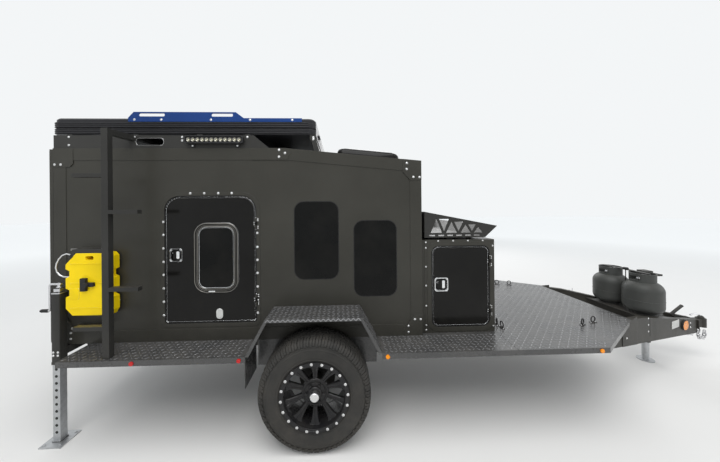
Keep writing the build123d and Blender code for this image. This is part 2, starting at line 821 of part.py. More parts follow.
for side, word in ((-1, "right"), (1, "left")):
    centre = side * wheel_centre_y
    with BuildPart() as wheel:
        wheel_ring(
            [
                (-rim_half, bead_radius),
                (rim_half, bead_radius),
                (rim_half, bead_radius - rim_wall),
                (-rim_half, bead_radius - rim_wall),
            ],
            centre,
        )
        wheel_ring(
            [
                (side * (rim_half - 10), bead_radius - rim_wall),
                (side * ring_out, bead_radius - rim_wall),
                (side * ring_out, ring_radius),
                (side * (ring_out - ring_thick), ring_radius),
                (side * (ring_out - ring_thick), bead_radius),
                (side * (rim_half - 10), bead_radius),
            ],
            centre,
        )
        wheel_ring(
            [
                (side * disc_out, 30),
                (side * (disc_out + 30), 30),
                (side * (disc_out + 30), hub_face_radius),
                (side * (disc_out + disc_thick), bead_radius - rim_wall),
                (side * (disc_out - 4), bead_radius - rim_wall),
            ],
            centre,
        )
        with BuildSketch(Plane(origin=(axle_x, centre, tyre_radius), x_dir=(1, 0, 0), z_dir=(0, -1, 0))):
            with PolarLocations(0, spoke_count):
                Polygon(
                    (window_in, -window_in_half),
                    (window_in, window_in_half),
                    (window_out, window_out_half),
                    (window_out, -window_out_half),
                    align=None,
                )
        extrude(amount=200, both=True, mode=Mode.SUBTRACT)
        inner_face = wheel_centre_y - arm_outer_y - spindle_boss - 4
        wheel_ring(
            [
                (side * cap_out, 0),
                (side * cap_out, cap_radius - 5),
                (side * (cap_out - 5), cap_radius),
                (side * (disc_out + 46), cap_radius),
                (side * (disc_out + 46), hub_radius - 6),
                (side * (disc_out + 40), hub_radius),
                (side * disc_out, hub_radius),
                (side * disc_out, drum_radius * 0.5),
                (side * (drum_width - inner_face), drum_radius * 0.5),
                (side * (drum_width - inner_face), drum_radius),
                (side * -inner_face, drum_radius),
                (side * -inner_face, 0),
            ],
            centre,
        )
        bore_y = sorted((side * arm_outer_y, side * (spindle_end_y + spindle_end_gap)))
        cross_bar(axle_x, tyre_radius, bore_y, spindle_radius + running_clearance, mode=Mode.SUBTRACT)
    finish(wheel, f"wheel_{word}")

# Cabin floor, front wall and roof panels
inside = cabin_half - wall
with BuildPart() as cabin_floor:
    slab((cabin_rear_x, cabin_front_x - wall), (-inside, inside), (frame_top_z, frame_top_z + wall))
finish(cabin_floor, "cabin_floor")

with BuildPart() as cabin_front_wall:
    side_plate(
        [
            (cabin_front_x - wall, frame_top_z),
            (cabin_front_x, frame_top_z),
            (cabin_front_x, roof_front_z),
            (cabin_front_x - wall, roof_front_z + wall * roof_slope),
        ],
        -inside,
        2 * inside,
    )
finish(cabin_front_wall, "cabin_front_wall")

hatch_top_z = roof_z - 7.0
hatch_bottom_z = deck_top_z + 12.0
hatch_axis_x = cabin_rear_x - hatch_gap - hatch_thick / 2
hatch_axis_z = roof_z + hinge_out
hatch_hinges_y = (-450.0, 450.0)
with BuildPart() as cabin_roof:
    side_plate(
        [
            (cabin_rear_x, roof_z),
            (roof_break_x, roof_z),
            (cabin_front_x - wall, roof_front_z + wall * roof_slope),
            (cabin_front_x - wall, roof_front_z + wall * roof_slope - wall),
            (roof_break_x, roof_z - wall),
            (cabin_rear_x, roof_z - wall),
        ],
        -inside,
        2 * inside,
    )
    for middle in hatch_hinges_y:
        reach = 1.5 * knuckle + knuckle_gap
        for low in (middle - reach, middle + reach - knuckle):
            cross_bar(hatch_axis_x, hatch_axis_z, (low, low + knuckle), hinge_radius)
            slab((hatch_axis_x, cabin_rear_x + 40), (low, low + knuckle), (roof_z, roof_z + band_plate))
        cross_bar(hatch_axis_x, hatch_axis_z, (middle - reach, middle + reach), pin_radius)
finish(cabin_roof, "cabin_roof")

# Side panels, cut for the doors and windows, with a ring round each door opening
door_x = (axle_x + door_ahead, axle_x + door_ahead + door_width)
door_z = (door_bottom_z, door_bottom_z + door_height)
door_axis_x = door_x[1] + door_gap / 2
door_hinges_z = (door_bottom_z + 170.0, door_bottom_z + door_height - 210.0)
window_corner = 75.0

# Side windows: distance ahead of the axle, width, lowest height, height
side_window_table = [
    (-173.0, 345.0, 1112.0, 604.0),
    (285.0, 338.0, 973.0, 593.0),
]
side_outline = [
    (cabin_rear_x, frame_top_z),
    (cabin_rear_x, roof_z),
    (roof_break_x, roof_z),
    (cabin_front_x, roof_front_z),
    (cabin_front_x, frame_top_z),
]


with BuildPart() as cabin_side_right:
    side_plate(side_outline, inside, wall)
    door_shape(
        widened(door_x, door_gap + door_ring),
        widened(door_z, door_gap + door_ring),
        door_corner + door_gap + door_ring,
        door_low_corner + door_gap + door_ring,
        cabin_half,
        band_plate,
    )
    door_shape(
        widened(door_x, door_gap),
        widened(door_z, door_gap),
        door_corner + door_gap,
        door_low_corner + door_gap,
        inside,
        wall + band_plate,
        mode=Mode.SUBTRACT,
    )
    hinge_notch(door_axis_x, cabin_half, door_hinges_z)
    fixed_hinge(door_axis_x, cabin_half, door_hinges_z)
    for ahead, width, low, height in side_window_table:
        rounded_plate(
            (axle_x + ahead, axle_x + ahead + width),
            (low, low + height),
            window_corner,
            inside,
            wall,
            mode=Mode.SUBTRACT,
        )
finish(cabin_side_right, "cabin_side_right")

with BuildPart() as cabin_side_left:
    mirror(cabin_side_right.part, about=Plane.XZ)
finish(cabin_side_left, "cabin_side_left")

with BuildPart() as windows_right:
    for ahead, width, low, height in side_window_table:
        rounded_plate(
            (axle_x + ahead + fit_gap, axle_x + ahead + width - fit_gap),
            (low + fit_gap, low + height - fit_gap),
            window_corner - fit_gap,
            cabin_half - glass,
            glass,
        )
with BuildPart() as side_windows:
    add(windows_right.part)
    mirror(windows_right.part, about=Plane.XZ)
finish(side_windows, "side_windows")

# Edge bands and corner gussets on both side panels
gusset_plate = 3.0

# Corner gussets: corner, reach along X and Z, and the chamfer of the far corner
gusset_table = [
    (cabin_front_x, roof_front_z, -145.0, -151.0, -56.0, -64.0),
    (cabin_front_x, deck_top_z, -148.0, 158.0, -80.0, 112.0),
    (cabin_rear_x, roof_z, 144.0, -140.0, 24.0, -24.0),
    (cabin_rear_x, deck_top_z, 144.0, 202.0, 56.0, 90.0),
]
with BuildPart() as trim_right:
    side_plate(
        [
            (cabin_rear_x, deck_top_z),
            (cabin_rear_x, roof_z),
            (roof_break_x, roof_z),
            (cabin_front_x, roof_front_z),
            (cabin_front_x, deck_top_z),
        ],
        cabin_half,
        band_plate,
    )
    side_plate(
        [
            (cabin_rear_x + band_width, deck_top_z + band_width),
            (cabin_rear_x + band_width, roof_z - band_width),
            (roof_break_x, roof_z - band_width),
            (cabin_front_x - band_width, roof_front_z - band_width + band_width * roof_slope),
            (cabin_front_x - band_width, deck_top_z + band_width),
        ],
        cabin_half,
        band_plate,
        mode=Mode.SUBTRACT,
    )
    for corner_x, corner_z, run, rise, cut_run, cut_rise in gusset_table:
        edge_z = roof_height(corner_x + run) if rise < 0 else corner_z
        side_plate(
            [
                (corner_x, corner_z),
                (corner_x + run, edge_z),
                (corner_x + run, corner_z + rise - cut_rise),
                (corner_x + run - cut_run, corner_z + rise),
                (corner_x, corner_z + rise),
            ],
            cabin_half + band_plate,
            gusset_plate,
        )
    side_plate(
        [
            (axle_x - 507, roof_z - 30),
            (axle_x - 484, roof_z),
            (roof_break_x, roof_z),
            (axle_x - 215, roof_height(axle_x - 215)),
            (axle_x - 192, roof_z - 34),
            (axle_x - 222, roof_z - band_width),
            (axle_x - 478, roof_z - band_width),
        ],
        cabin_half + band_plate,
        gusset_plate,
    )
with BuildPart() as edge_trim:
    add(trim_right.part)
    mirror(trim_right.part, about=Plane.XZ)
finish(edge_trim, "edge_trim")

# Side doors with a framed window, a latch, a small oval plate and the moving hinge knuckles
door_latch_x = (axle_x - 1108.0, axle_x - 1014.0)
door_latch_z = (1264.0, 1366.0)
key_plate_x = (axle_x - 765.0, axle_x - 713.0)
key_plate_z = (826.0, 907.0)
pane_x = (door_x[0] + pane_ahead, door_x[0] + pane_ahead + pane_width)
pane_z = (door_bottom_z + pane_above, door_bottom_z + pane_above + pane_height)
with BuildPart() as cabin_door_right:
    door_shape(door_x, door_z, door_corner, door_low_corner, inside, wall)
    rounded_plate(
        widened(pane_x, pane_frame),
        widened(pane_z, pane_frame),
        pane_corner + pane_frame,
        cabin_half,
        pane_frame_proud,
    )
    rounded_plate(pane_x, pane_z, pane_corner, inside, wall + pane_frame_proud, mode=Mode.SUBTRACT)
    latch(door_latch_x, door_latch_z, cabin_half)
    rounded_plate(key_plate_x, key_plate_z, 24, cabin_half, 2)
    moving_hinge(door_axis_x, cabin_half, door_hinges_z)
finish(cabin_door_right, "cabin_door_right")

with BuildPart() as cabin_door_left:
    mirror(cabin_door_right.part, about=Plane.XZ)
finish(cabin_door_left, "cabin_door_left")

with BuildPart() as door_window_right:
    rounded_plate(
        widened(pane_x, -fit_gap),
        widened(pane_z, -fit_gap),
        pane_corner - fit_gap,
        cabin_half - glass,
        glass,
    )
finish(door_window_right, "door_window_right")

with BuildPart() as door_window_left:
    mirror(door_window_right.part, about=Plane.XZ)
finish(door_window_left, "door_window_left")

# Rear hatch over the whole back, hinged at the roof, with two handles
with BuildPart() as rear_hatch:
    hatch_inner_x = cabin_rear_x - hatch_gap
    hatch_x = (hatch_inner_x - hatch_thick, hatch_inner_x)
    slab(hatch_x, (-cabin_half, cabin_half), (hatch_bottom_z, hatch_top_z))
    for middle in hatch_hinges_y:
        half = knuckle / 2
        cross_bar(hatch_axis_x, hatch_axis_z, (middle - half, middle + half), hinge_radius)
        web_x = (hatch_axis_x - 5, hatch_axis_x + 5)
        slab(web_x, (middle - half, middle + half), (hatch_top_z, hatch_axis_z))
        pin_y = (middle - knuckle, middle + knuckle)
        cross_bar(hatch_axis_x, hatch_axis_z, pin_y, pin_radius + running_clearance, mode=Mode.SUBTRACT)
    for middle in (-500.0, 500.0):
        slab(
            (hatch_inner_x - hatch_thick - handle_reach, hatch_inner_x - hatch_thick),
            (middle - 55, middle + 55),
            (hatch_bottom_z + 160, hatch_bottom_z + 240),
        )
finish(rear_hatch, "rear_hatch")

# Galley: a bulkhead across the cabin with open cupboards facing the hatch
board = 18.0
galley_depth = 560.0
counter_z = 1120.0
galley_x = (cabin_rear_x + 30.0, cabin_rear_x + 30.0 + galley_depth)
with BuildPart() as galley_unit:
    galley_z = (frame_top_z + wall, roof_z - wall)
    slab(galley_x, (-inside, inside), galley_z)
    shelf_levels = [galley_z[0] + board, counter_z, 1600.0, galley_z[1] - board]
    for low, high in zip(shelf_levels[:-1], shelf_levels[1:]):
        top = high - (0 if high == shelf_levels[-1] else board)
        for y in ((-inside + board, -board / 2), (board / 2, inside - board)):
            slab((galley_x[0], galley_x[1] - board), y, (low, top), mode=Mode.SUBTRACT)
finish(galley_unit, "galley_unit")

# Mattresses, in the cabin and folded flat inside the tent
tent_ahead = -1972.0
tent_length = 1971.0
tent_half = 690.0
tent_z = (2232.0, 2357.0)
tent_split_z = 2277.0
tent_gap = 5.0
tent_shell = 10.0
mattress_thick = 130.0
tent_mattress_thick = 30.0
tent_x = (axle_x + tent_ahead, axle_x + tent_ahead + tent_length)
with BuildPart() as mattresses:
    slab(
        (galley_x[1] + 8, cabin_front_x - wall - 8),
        (-inside + 8, inside - 8),
        (frame_top_z + wall + fit_gap, frame_top_z + wall + mattress_thick),
    )
    slab(
        widened(tent_x, -60),
        (-tent_half + 50, tent_half - 50),
        (tent_z[0] + tent_shell + fit_gap, tent_z[0] + tent_shell + tent_mattress_thick),
    )
finish(mattresses, "mattresses")

# Storage box on the deck, open through from door to door
box_ahead = 851.0
box_length = 561.0
box_half = 670.0
box_wall = 30.0
box_top_z = 1403.0
box_door_in = 57.0
box_door_width = 462.0
box_door_z = (714.0, 1350.0)
box_door_corner = 52.0
box_ring = 38.0
box_x = (axle_x + box_ahead, axle_x + box_ahead + box_length)
box_door_x = (box_x[0] + box_door_in, box_x[0] + box_door_in + box_door_width)
box_axis_x = box_door_x[1] + door_gap / 2
box_hinges_z = (box_door_z[0] + 120.0, box_door_z[1] - 120.0)
box_latch_x = (axle_x + 928.0, axle_x + 1036.0)
box_latch_z = (994.0, 1102.0)
with BuildPart() as box_frame:
    rounded_plate(
        widened(box_door_x, box_ring),
        widened(box_door_z, box_ring),
        box_door_corner + box_ring,
        box_half,
        band_plate,
    )
    rounded_plate(
        widened(box_door_x, door_gap),
        widened(box_door_z, door_gap),
        box_door_corner + door_gap,
        box_half - box_wall,
        box_wall + band_plate,
        mode=Mode.SUBTRACT,
    )
    hinge_notch(box_axis_x, box_half, box_hinges_z)
    fixed_hinge(box_axis_x, box_half, box_hinges_z)
with BuildPart() as storage_box:
    slab(box_x, (-box_half, box_half), (deck_top_z, box_top_z))
    slab(
        (box_x[0] + box_wall, box_x[1] - box_wall),
        (-box_half + box_wall, box_half - box_wall),
        (deck_top_z + box_wall, box_top_z - box_wall),
        mode=Mode.SUBTRACT,
    )
    rounded_plate(
        widened(box_door_x, door_gap),
        widened(box_door_z, door_gap),
        box_door_corner + door_gap,
        -box_half,
        2 * box_half,
        mode=Mode.SUBTRACT,
    )
    add(box_frame.part)
    mirror(box_frame.part, about=Plane.XZ)
finish(storage_box, "storage_box")

with BuildPart() as box_door_right:
    rounded_plate(box_door_x, box_door_z, box_door_corner, box_half - box_wall, box_wall)
    latch(box_latch_x, box_latch_z, box_half)
    moving_hinge(box_axis_x, box_half, box_hinges_z)
finish(box_door_right, "box_door_right")

with BuildPart() as box_door_left:
    mirror(box_door_right.part, about=Plane.XZ)
finish(box_door_left, "box_door_left")

# Basket on the box, with cut-out side plates and a slanted front
basket_rear_z = 1627.0
basket_tip_z = 1510.0
basket_low_z = 1420.0
basket_over = 27.0
basket_front_in = 71.0
basket_plate = 5.0
basket_rim = 34.0
dash_count = 6
dash_pitch = 72.0
dash_length = 46.0
dash_z = (basket_low_z + 12.0, basket_low_z + 22.0)
cut_low_z = basket_low_z + 38.0

# Cut-outs in the basket's sides: distance ahead of the box's rear, half width, point upwards
cut_table = [
    (96.0, 46.0, True),
    (158.0, 40.0, False),
    (218.0, 44.0, True),
    (276.0, 36.0, False),
    (332.0, 40.0, True),
    (384.0, 30.0, False),
    (434.0, 36.0, True),
]
with BuildPart() as storage_basket:
    outline = [
        (box_x[0], basket_low_z),
        (box_x[0], basket_rear_z),
        (box_x[1] + basket_over, basket_tip_z),
        (box_x[1] - basket_front_in, basket_low_z),
    ]
    side_plate(outline, -box_half, 2 * box_half)
    side_plate(
        [
            (box_x[0] + basket_plate, basket_low_z + basket_plate),
            (box_x[0] + basket_plate, basket_rear_z + 100),
            (box_x[1] + basket_over + 100, basket_rear_z + 100),
            (box_x[1] + basket_over - basket_plate, basket_tip_z),
            (box_x[1] - basket_front_in - basket_plate / 2, basket_low_z + basket_plate),
        ],
        -box_half + basket_plate,
        2 * (box_half - basket_plate),
        mode=Mode.SUBTRACT,
    )
    for run, half, point_up in cut_table:
        middle = box_x[0] + run
        rim_z = basket_rear_z - (basket_rear_z - basket_tip_z) * run / (box_length + basket_over) - basket_rim
        base_z = cut_low_z if point_up else rim_z + 6
        apex_z = rim_z - 4 if point_up else cut_low_z + 12
        side_plate(
            [(middle - half, base_z), (middle, apex_z), (middle + half, base_z)],
            -box_half,
            2 * box_half,
            mode=Mode.SUBTRACT,
        )
    for step in range(dash_count):
        dash = box_x[0] + 40 + step * dash_pitch
        slab((dash, dash + dash_length), (-box_half, box_half), dash_z, mode=Mode.SUBTRACT)
    for x in (box_x[0] + 60, box_x[1] - 120):
        for side in (-1, 1):
            post(x, side * 500, (box_top_z, basket_low_z), 18)
finish(storage_basket, "storage_basket")

# Roof rack: side plates with a slot, crossbars under the tent and a front strut
rack_ahead = -1951.0
rack_length = 1596.0
rack_nose = 120.0
rack_plate = 5.0
rack_half = 694.0
bar_size = 40.0
bar_table = (110.0, 590.0, 1070.0, 1430.0)
rack_x = (axle_x + rack_ahead, axle_x + rack_ahead + rack_length)
rack_slot_x = (axle_x - 1350.0, axle_x - 1150.0)
rack_slot_z = (2150.0, 2200.0)
strut_x = tent_x[1] - 46.0
strut_lean = 34.0
strut_width = 40.0
strut_y = 672.0
strut_plate = 12.0
with BuildPart() as roof_rack:
    for side in (-1, 1):
        inner_y = rack_half if side < 0 else -rack_half - rack_plate
        side_plate(
            [
                (rack_x[0], roof_z),
                (rack_x[0], tent_z[0] - 8),
                (rack_x[1] - rack_nose, tent_z[0] - 8),
                (rack_x[1], roof_z),
            ],
            inner_y,
            rack_plate,
        )
        rounded_plate(rack_slot_x, rack_slot_z, 20, inner_y, rack_plate, mode=Mode.SUBTRACT)
        inner_y = strut_y if side < 0 else -strut_y - strut_plate
        side_plate(
            [
                (strut_x + strut_lean, roof_height(strut_x + strut_lean)),
                (strut_x, tent_z[0]),
                (strut_x + strut_width, tent_z[0]),
                (strut_x + strut_width + strut_lean, roof_height(strut_x + strut_width + strut_lean)),
            ],
            inner_y,
            strut_plate,
        )
    strut_bar_y = (-strut_y - strut_plate, strut_y + strut_plate)
    slab((strut_x, strut_x + bar_size), strut_bar_y, (tent_z[0] - bar_size, tent_z[0]))
    for ahead in bar_table:
        slab(
            (rack_x[0] + ahead - bar_size / 2, rack_x[0] + ahead + bar_size / 2),
            (-rack_half, rack_half),
            (tent_z[0] - bar_size, tent_z[0]),
        )
finish(roof_rack, "roof_rack")

# Light bars outside the rack's side plates
light_ahead = -978.0
light_length = 435.0
light_z = (2155.0, 2213.0)
with BuildPart() as light_right:
    rounded_plate(
        (axle_x + light_ahead, axle_x + light_ahead + light_length),
        light_z,
        16,
        rack_half + rack_plate,
        34,
    )
with BuildPart() as light_bars:
    add(light_right.part)
    mirror(light_right.part, about=Plane.XZ)
finish(light_bars, "light_bars")

# Roof vent on the sloped roof
vent_ahead = 110.0
vent_length = 660.0
vent_half = 230.0
vent_height = 150.0
vent_x = (axle_x + vent_ahead, axle_x + vent_ahead + vent_length)

with BuildPart() as roof_vent:
    with BuildSketch(Plane.XZ.offset(-vent_half)) as dome:
        with BuildLine():
            Spline(
                (vent_x[0], roof_height(vent_x[0])),
                (vent_x[0] + 70, roof_height(vent_x[0]) + vent_height * 0.62),
                (vent_x[0] + 230, roof_height(vent_x[0]) + vent_height * 0.92),
                (vent_x[1] - 230, roof_height(vent_x[1]) + vent_height * 0.86),
                (vent_x[1] - 60, roof_height(vent_x[1]) + vent_height * 0.42),
                (vent_x[1], roof_height(vent_x[1])),
            )
            Line((vent_x[1], roof_height(vent_x[1])), (vent_x[0], roof_height(vent_x[0])))
        make_face()
    extrude(dome.sketch, amount=2 * vent_half)
    fillet(roof_vent.faces().sort_by(Axis.Y)[0].edges() - roof_vent.faces().sort_by(Axis.Z)[0].edges(), 40)
    fillet(roof_vent.faces().sort_by(Axis.Y)[-1].edges() - roof_vent.faces().sort_by(Axis.Z)[0].edges(), 40)
finish(roof_vent, "roof_vent")

# Roof tent: a base tray and a ribbed lid, hinged at the front, with side rails on the lid
rail_ahead = -1411.0
rail_length = 1306.0
rail_raised_in = 42.0
rail_raised_length = 761.0
tent_rail_low_z = 2328.0
tent_rail_top_z = 2357.0
tent_rail_raised_z = 2402.0
tent_rail_plate = 6.0
rail_slots = [(-1330.0, -1140.0), (-790.0, -630.0)]
rail_slot_z = (2368.0, 2391.0)
tent_corner = 60.0
rib_proud = 5.0
tent_axis_x = tent_x[1] + hinge_out
tent_axis_z = tent_split_z + tent_gap / 2
tent_leaf_x = (tent_x[1], tent_x[1] + band_plate)
tent_hinges_y = (-420.0, 420.0)


def tent_block(grow, low, high, mode=Mode.ADD):
    """A rounded slab of the tent's plan, drawn in or out by grow, between two heights."""
    with BuildSketch(Plane.XY.offset(low)) as plan:
        with Locations(((tent_x[0] + tent_x[1]) / 2, 0)):
            RectangleRounded(tent_length + 2 * grow, 2 * (tent_half + grow), tent_corner + grow)
    extrude(plan.sketch, amount=high - low, mode=mode)


def tent_rib(low, high):
    """A rounded rib round the tent's shell, between two heights."""
    tent_block(rib_proud / 2, low, high)
    tent_block(rib_proud, low + rib_proud, high - rib_proud)
    slab((tent_x[1], tent_x[1] + 2 * rib_proud), (-tent_half, tent_half), tent_z, mode=Mode.SUBTRACT)


with BuildPart() as tent_base:
    tent_block(0, tent_z[0], tent_split_z)
    tent_rib(tent_z[0] + 4, tent_split_z)
    tent_block(-tent_shell, tent_z[0] + tent_shell, tent_split_z, mode=Mode.SUBTRACT)
    for middle in tent_hinges_y:
        reach = 1.5 * knuckle + knuckle_gap
        for low in (middle - reach, middle + reach - knuckle):
            cross_bar(tent_axis_x, tent_axis_z, (low, low + knuckle), hinge_radius)
            slab(tent_leaf_x, (low, low + knuckle), (tent_split_z - hinge_leaf, tent_axis_z))
        cross_bar(tent_axis_x, tent_axis_z, (middle - reach, middle + reach), pin_radius)
finish(tent_base, "tent_base")

with BuildPart() as tent_lid:
    tent_block(0, tent_split_z + tent_gap, tent_z[1])
    chamfer(tent_lid.faces().sort_by(Axis.Z)[-1].edges(), 12)
    tent_rib(tent_split_z + tent_gap, tent_rail_low_z - 4)
    tent_block(-tent_shell, tent_split_z + tent_gap, tent_z[1] - tent_shell, mode=Mode.SUBTRACT)
    for middle in tent_hinges_y:
        half = knuckle / 2
        cross_bar(tent_axis_x, tent_axis_z, (middle - half, middle + half), hinge_radius)
        slab(tent_leaf_x, (middle - half, middle + half), (tent_axis_z, tent_axis_z + hinge_leaf))
        pin_y = (middle - knuckle, middle + knuckle)
        cross_bar(tent_axis_x, tent_axis_z, pin_y, pin_radius + running_clearance, mode=Mode.SUBTRACT)
finish(tent_lid, "tent_lid")

# Blue side rails on the tent lid, raised and slotted over their rear half
with BuildPart() as tent_rail_right:
    start = axle_x + rail_ahead
    side_plate(
        [
            (start, tent_rail_low_z),
            (start, tent_rail_top_z),
            (start + rail_raised_in, tent_rail_raised_z),
            (start + rail_raised_in + rail_raised_length, tent_rail_raised_z),
            (start + rail_raised_in + rail_raised_length + 60, tent_rail_top_z),
            (start + rail_length, tent_rail_top_z),
            (start + rail_length, tent_rail_low_z),
        ],
        tent_half,
        tent_rail_plate,
    )
    for slot_from, slot_to in rail_slots:
        slot_x = (axle_x + slot_from, axle_x + slot_to)
        rounded_plate(slot_x, rail_slot_z, 9, tent_half, tent_rail_plate, mode=Mode.SUBTRACT)
with BuildPart() as tent_rails:
    add(tent_rail_right.part)
    mirror(tent_rail_right.part, about=Plane.XZ)
finish(tent_rails, "tent_rails")

# Ladder: one post with steps on alternate sides, on the right-hand running board
ladder_ahead = -1384.0
ladder_y = 910.0
ladder_size = 44.0
ladder_depth = 40.0
ladder_top_z = 2208.0
step_reach = 190.0
step_thick = 26.0

# Steps: side of the post, height
step_table = [(-1, 869.0), (1, 1128.0), (-1, 1387.0), (1, 1647.0), (-1, 1893.0)]
with BuildPart() as ladder:
    post_x = (axle_x + ladder_ahead - ladder_size / 2, axle_x + ladder_ahead + ladder_size / 2)
    post_y = (-ladder_y - ladder_depth / 2, -ladder_y + ladder_depth / 2)
    slab(post_x, post_y, (deck_top_z, ladder_top_z))
    with BuildSketch(Plane(origin=(post_x[0], 0, 0), x_dir=(0, 1, 0), z_dir=(1, 0, 0))) as arm:
        with BuildLine():
            Polyline(
                (post_y[0], ladder_top_z - 36),
                (post_y[0], ladder_top_z),
                (-rack_half - rack_plate, tent_z[0] - 10),
                (-rack_half - rack_plate, tent_z[0] - 50),
                close=True,
            )
        make_face()
    extrude(arm.sketch, amount=ladder_size)
    for side, height in step_table:
        reach = sorted((axle_x + ladder_ahead, axle_x + ladder_ahead + side * (ladder_size / 2 + step_reach)))
        slab(reach, post_y, (height - step_thick / 2, height + step_thick / 2))
finish(ladder, "ladder")

# Fuel container on its mount, on the right-hand side panel
container_ahead = -1801.0
container_width = 334.0
container_z = (899.0, 1354.0)
container_inner_y = cabin_half + 14.0
container_thick = 62.0
container_x = (axle_x + container_ahead, axle_x + container_ahead + container_width)
mount_x = (container_x[0] + container_x[1]) / 2
mount_z = (container_z[0] + container_z[1]) / 2
knob_radius = 14.0
notch_depth = 26.0

# Notches in both edges of the container: lowest and highest place of their floors
notch_table = [(1046.0, 1082.0), (1184.0, 1222.0)]
with BuildPart() as fuel_container:
    side_plate(
        [
            (container_x[0] + 46, container_z[0]),
            (container_x[0], container_z[0] + 52),
            (container_x[0], container_z[1] - 85),
            (container_x[0] + 77, container_z[1]),
            (container_x[1] - 22, container_z[1]),
            (container_x[1], container_z[1] - 26),
            (container_x[1], container_z[0] + 38),
            (container_x[1] - 24, container_z[0]),
        ],
        container_inner_y,
        container_thick,
    )
    for low, high in notch_table:
        for edge_x, inward in ((container_x[0], 1), (container_x[1], -1)):
            side_plate(
                [
                    (edge_x - inward, low - 14),
                    (edge_x + inward * notch_depth, low),
                    (edge_x + inward * notch_depth, high),
                    (edge_x - inward, high + 14),
                ],
                container_inner_y,
                container_thick,
                mode=Mode.SUBTRACT,
            )
    chamfer(fuel_container.faces().sort_by(Axis.Y)[0].edges(), 7)
    rounded_plate(
        (container_x[0] + 146, container_x[0] + 202),
        (container_z[1] - 52, container_z[1] - 24),
        10,
        container_inner_y,
        container_thick,
        mode=Mode.SUBTRACT,
    )
    knob_hole_y = (-container_inner_y - container_thick, -container_inner_y)
    cross_bar(mount_x, mount_z, knob_hole_y, knob_radius + 1, mode=Mode.SUBTRACT)
finish(fuel_container, "fuel_container")

with BuildPart() as container_mount:
    slab(widened(container_x, -60), (-container_inner_y, -cabin_half), widened(container_z, -60))
    cross_bar(mount_x, mount_z, (-container_inner_y - container_thick - 30, -container_inner_y), knob_radius)
    knob_y = (-container_inner_y - container_thick - 20, -container_inner_y - container_thick - fit_gap)
    slab((mount_x - 44, mount_x - 6), knob_y, (mount_z - 46, mount_z + 46))
    slab((mount_x - 44, mount_x + 46), knob_y, (mount_z - 14, mount_z + 14))
finish(container_mount, "container_mount")

# Marker lamps: distance ahead of the axle, height, on both skirts
amber_table = [(500.0, 644.0), (2011.0, 644.0)]
red_table = [(-1203.0, 644.0), (-503.0, 644.0)]
lamp_radius = 14.0
lamp_thick = 6.0
tail_lamp_y = 590.0
tail_lamp_half = 85.0
tail_lamp_z = (618.0, 654.0)
tail_lamp_x = rear_jack_x - cross_width / 2
for table, label in ((amber_table, "amber_lamps"), (red_table, "red_lamps")):
    with BuildPart() as lamps:
        for ahead, height in table:
            for side in (-1, 1):
                face = side * deck_half
                cross_bar(axle_x + ahead, height, sorted((face, face + side * lamp_thick)), lamp_radius)
        if label == "red_lamps":
            for middle in (-tail_lamp_y, tail_lamp_y):
                slab((tail_lamp_x - 22, tail_lamp_x), widened((middle, middle), tail_lamp_half), tail_lamp_z)
    finish(lamps, label)
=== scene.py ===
import math

import bmesh
import bpy
from mathutils import Matrix, Vector
from mathutils.bvhtree import BVHTree


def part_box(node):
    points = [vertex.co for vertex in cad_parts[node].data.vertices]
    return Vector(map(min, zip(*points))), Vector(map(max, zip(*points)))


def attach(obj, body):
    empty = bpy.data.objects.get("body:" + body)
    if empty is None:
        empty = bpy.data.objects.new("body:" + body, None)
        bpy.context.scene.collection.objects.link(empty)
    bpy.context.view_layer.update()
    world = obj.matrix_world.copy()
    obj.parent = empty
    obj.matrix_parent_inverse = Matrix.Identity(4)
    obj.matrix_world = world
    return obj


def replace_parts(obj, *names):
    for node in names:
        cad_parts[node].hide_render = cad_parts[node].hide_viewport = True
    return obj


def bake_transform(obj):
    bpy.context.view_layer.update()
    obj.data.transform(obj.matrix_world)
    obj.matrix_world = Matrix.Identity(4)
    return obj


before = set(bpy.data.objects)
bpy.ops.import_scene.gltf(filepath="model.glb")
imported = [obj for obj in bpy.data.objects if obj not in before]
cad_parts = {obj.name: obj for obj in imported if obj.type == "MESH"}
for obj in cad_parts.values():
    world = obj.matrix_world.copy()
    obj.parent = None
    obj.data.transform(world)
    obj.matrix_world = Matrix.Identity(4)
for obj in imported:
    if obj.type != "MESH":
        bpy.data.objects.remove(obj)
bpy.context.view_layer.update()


# Shader maths

class Shade:
    """One output of a shader node. Arithmetic on it adds Math nodes to its material."""

    def __init__(self, paint, socket):
        self.paint = paint
        self.socket = socket

    def math(self, operation, *values):
        return self.paint.node("ShaderNodeMath", {"operation": operation}, values)

    def __add__(self, other):
        return self.math("ADD", self, other)

    def __sub__(self, other):
        return self.math("SUBTRACT", self, other)

    def __rsub__(self, other):
        return self.math("SUBTRACT", other, self)

    def __mul__(self, other):
        return self.math("MULTIPLY", self, other)

    __radd__ = __add__
    __rmul__ = __mul__

    def clamp(self):
        return self.math("MAXIMUM", self.math("MINIMUM", self, 1.0), 0.0)

    def sine(self):
        return self.math("SINE", self)

    def between(self, low, high):
        """0 at low, 1 at high and straight between them."""
        return ((self - low) * (1.0 / (high - low))).clamp()


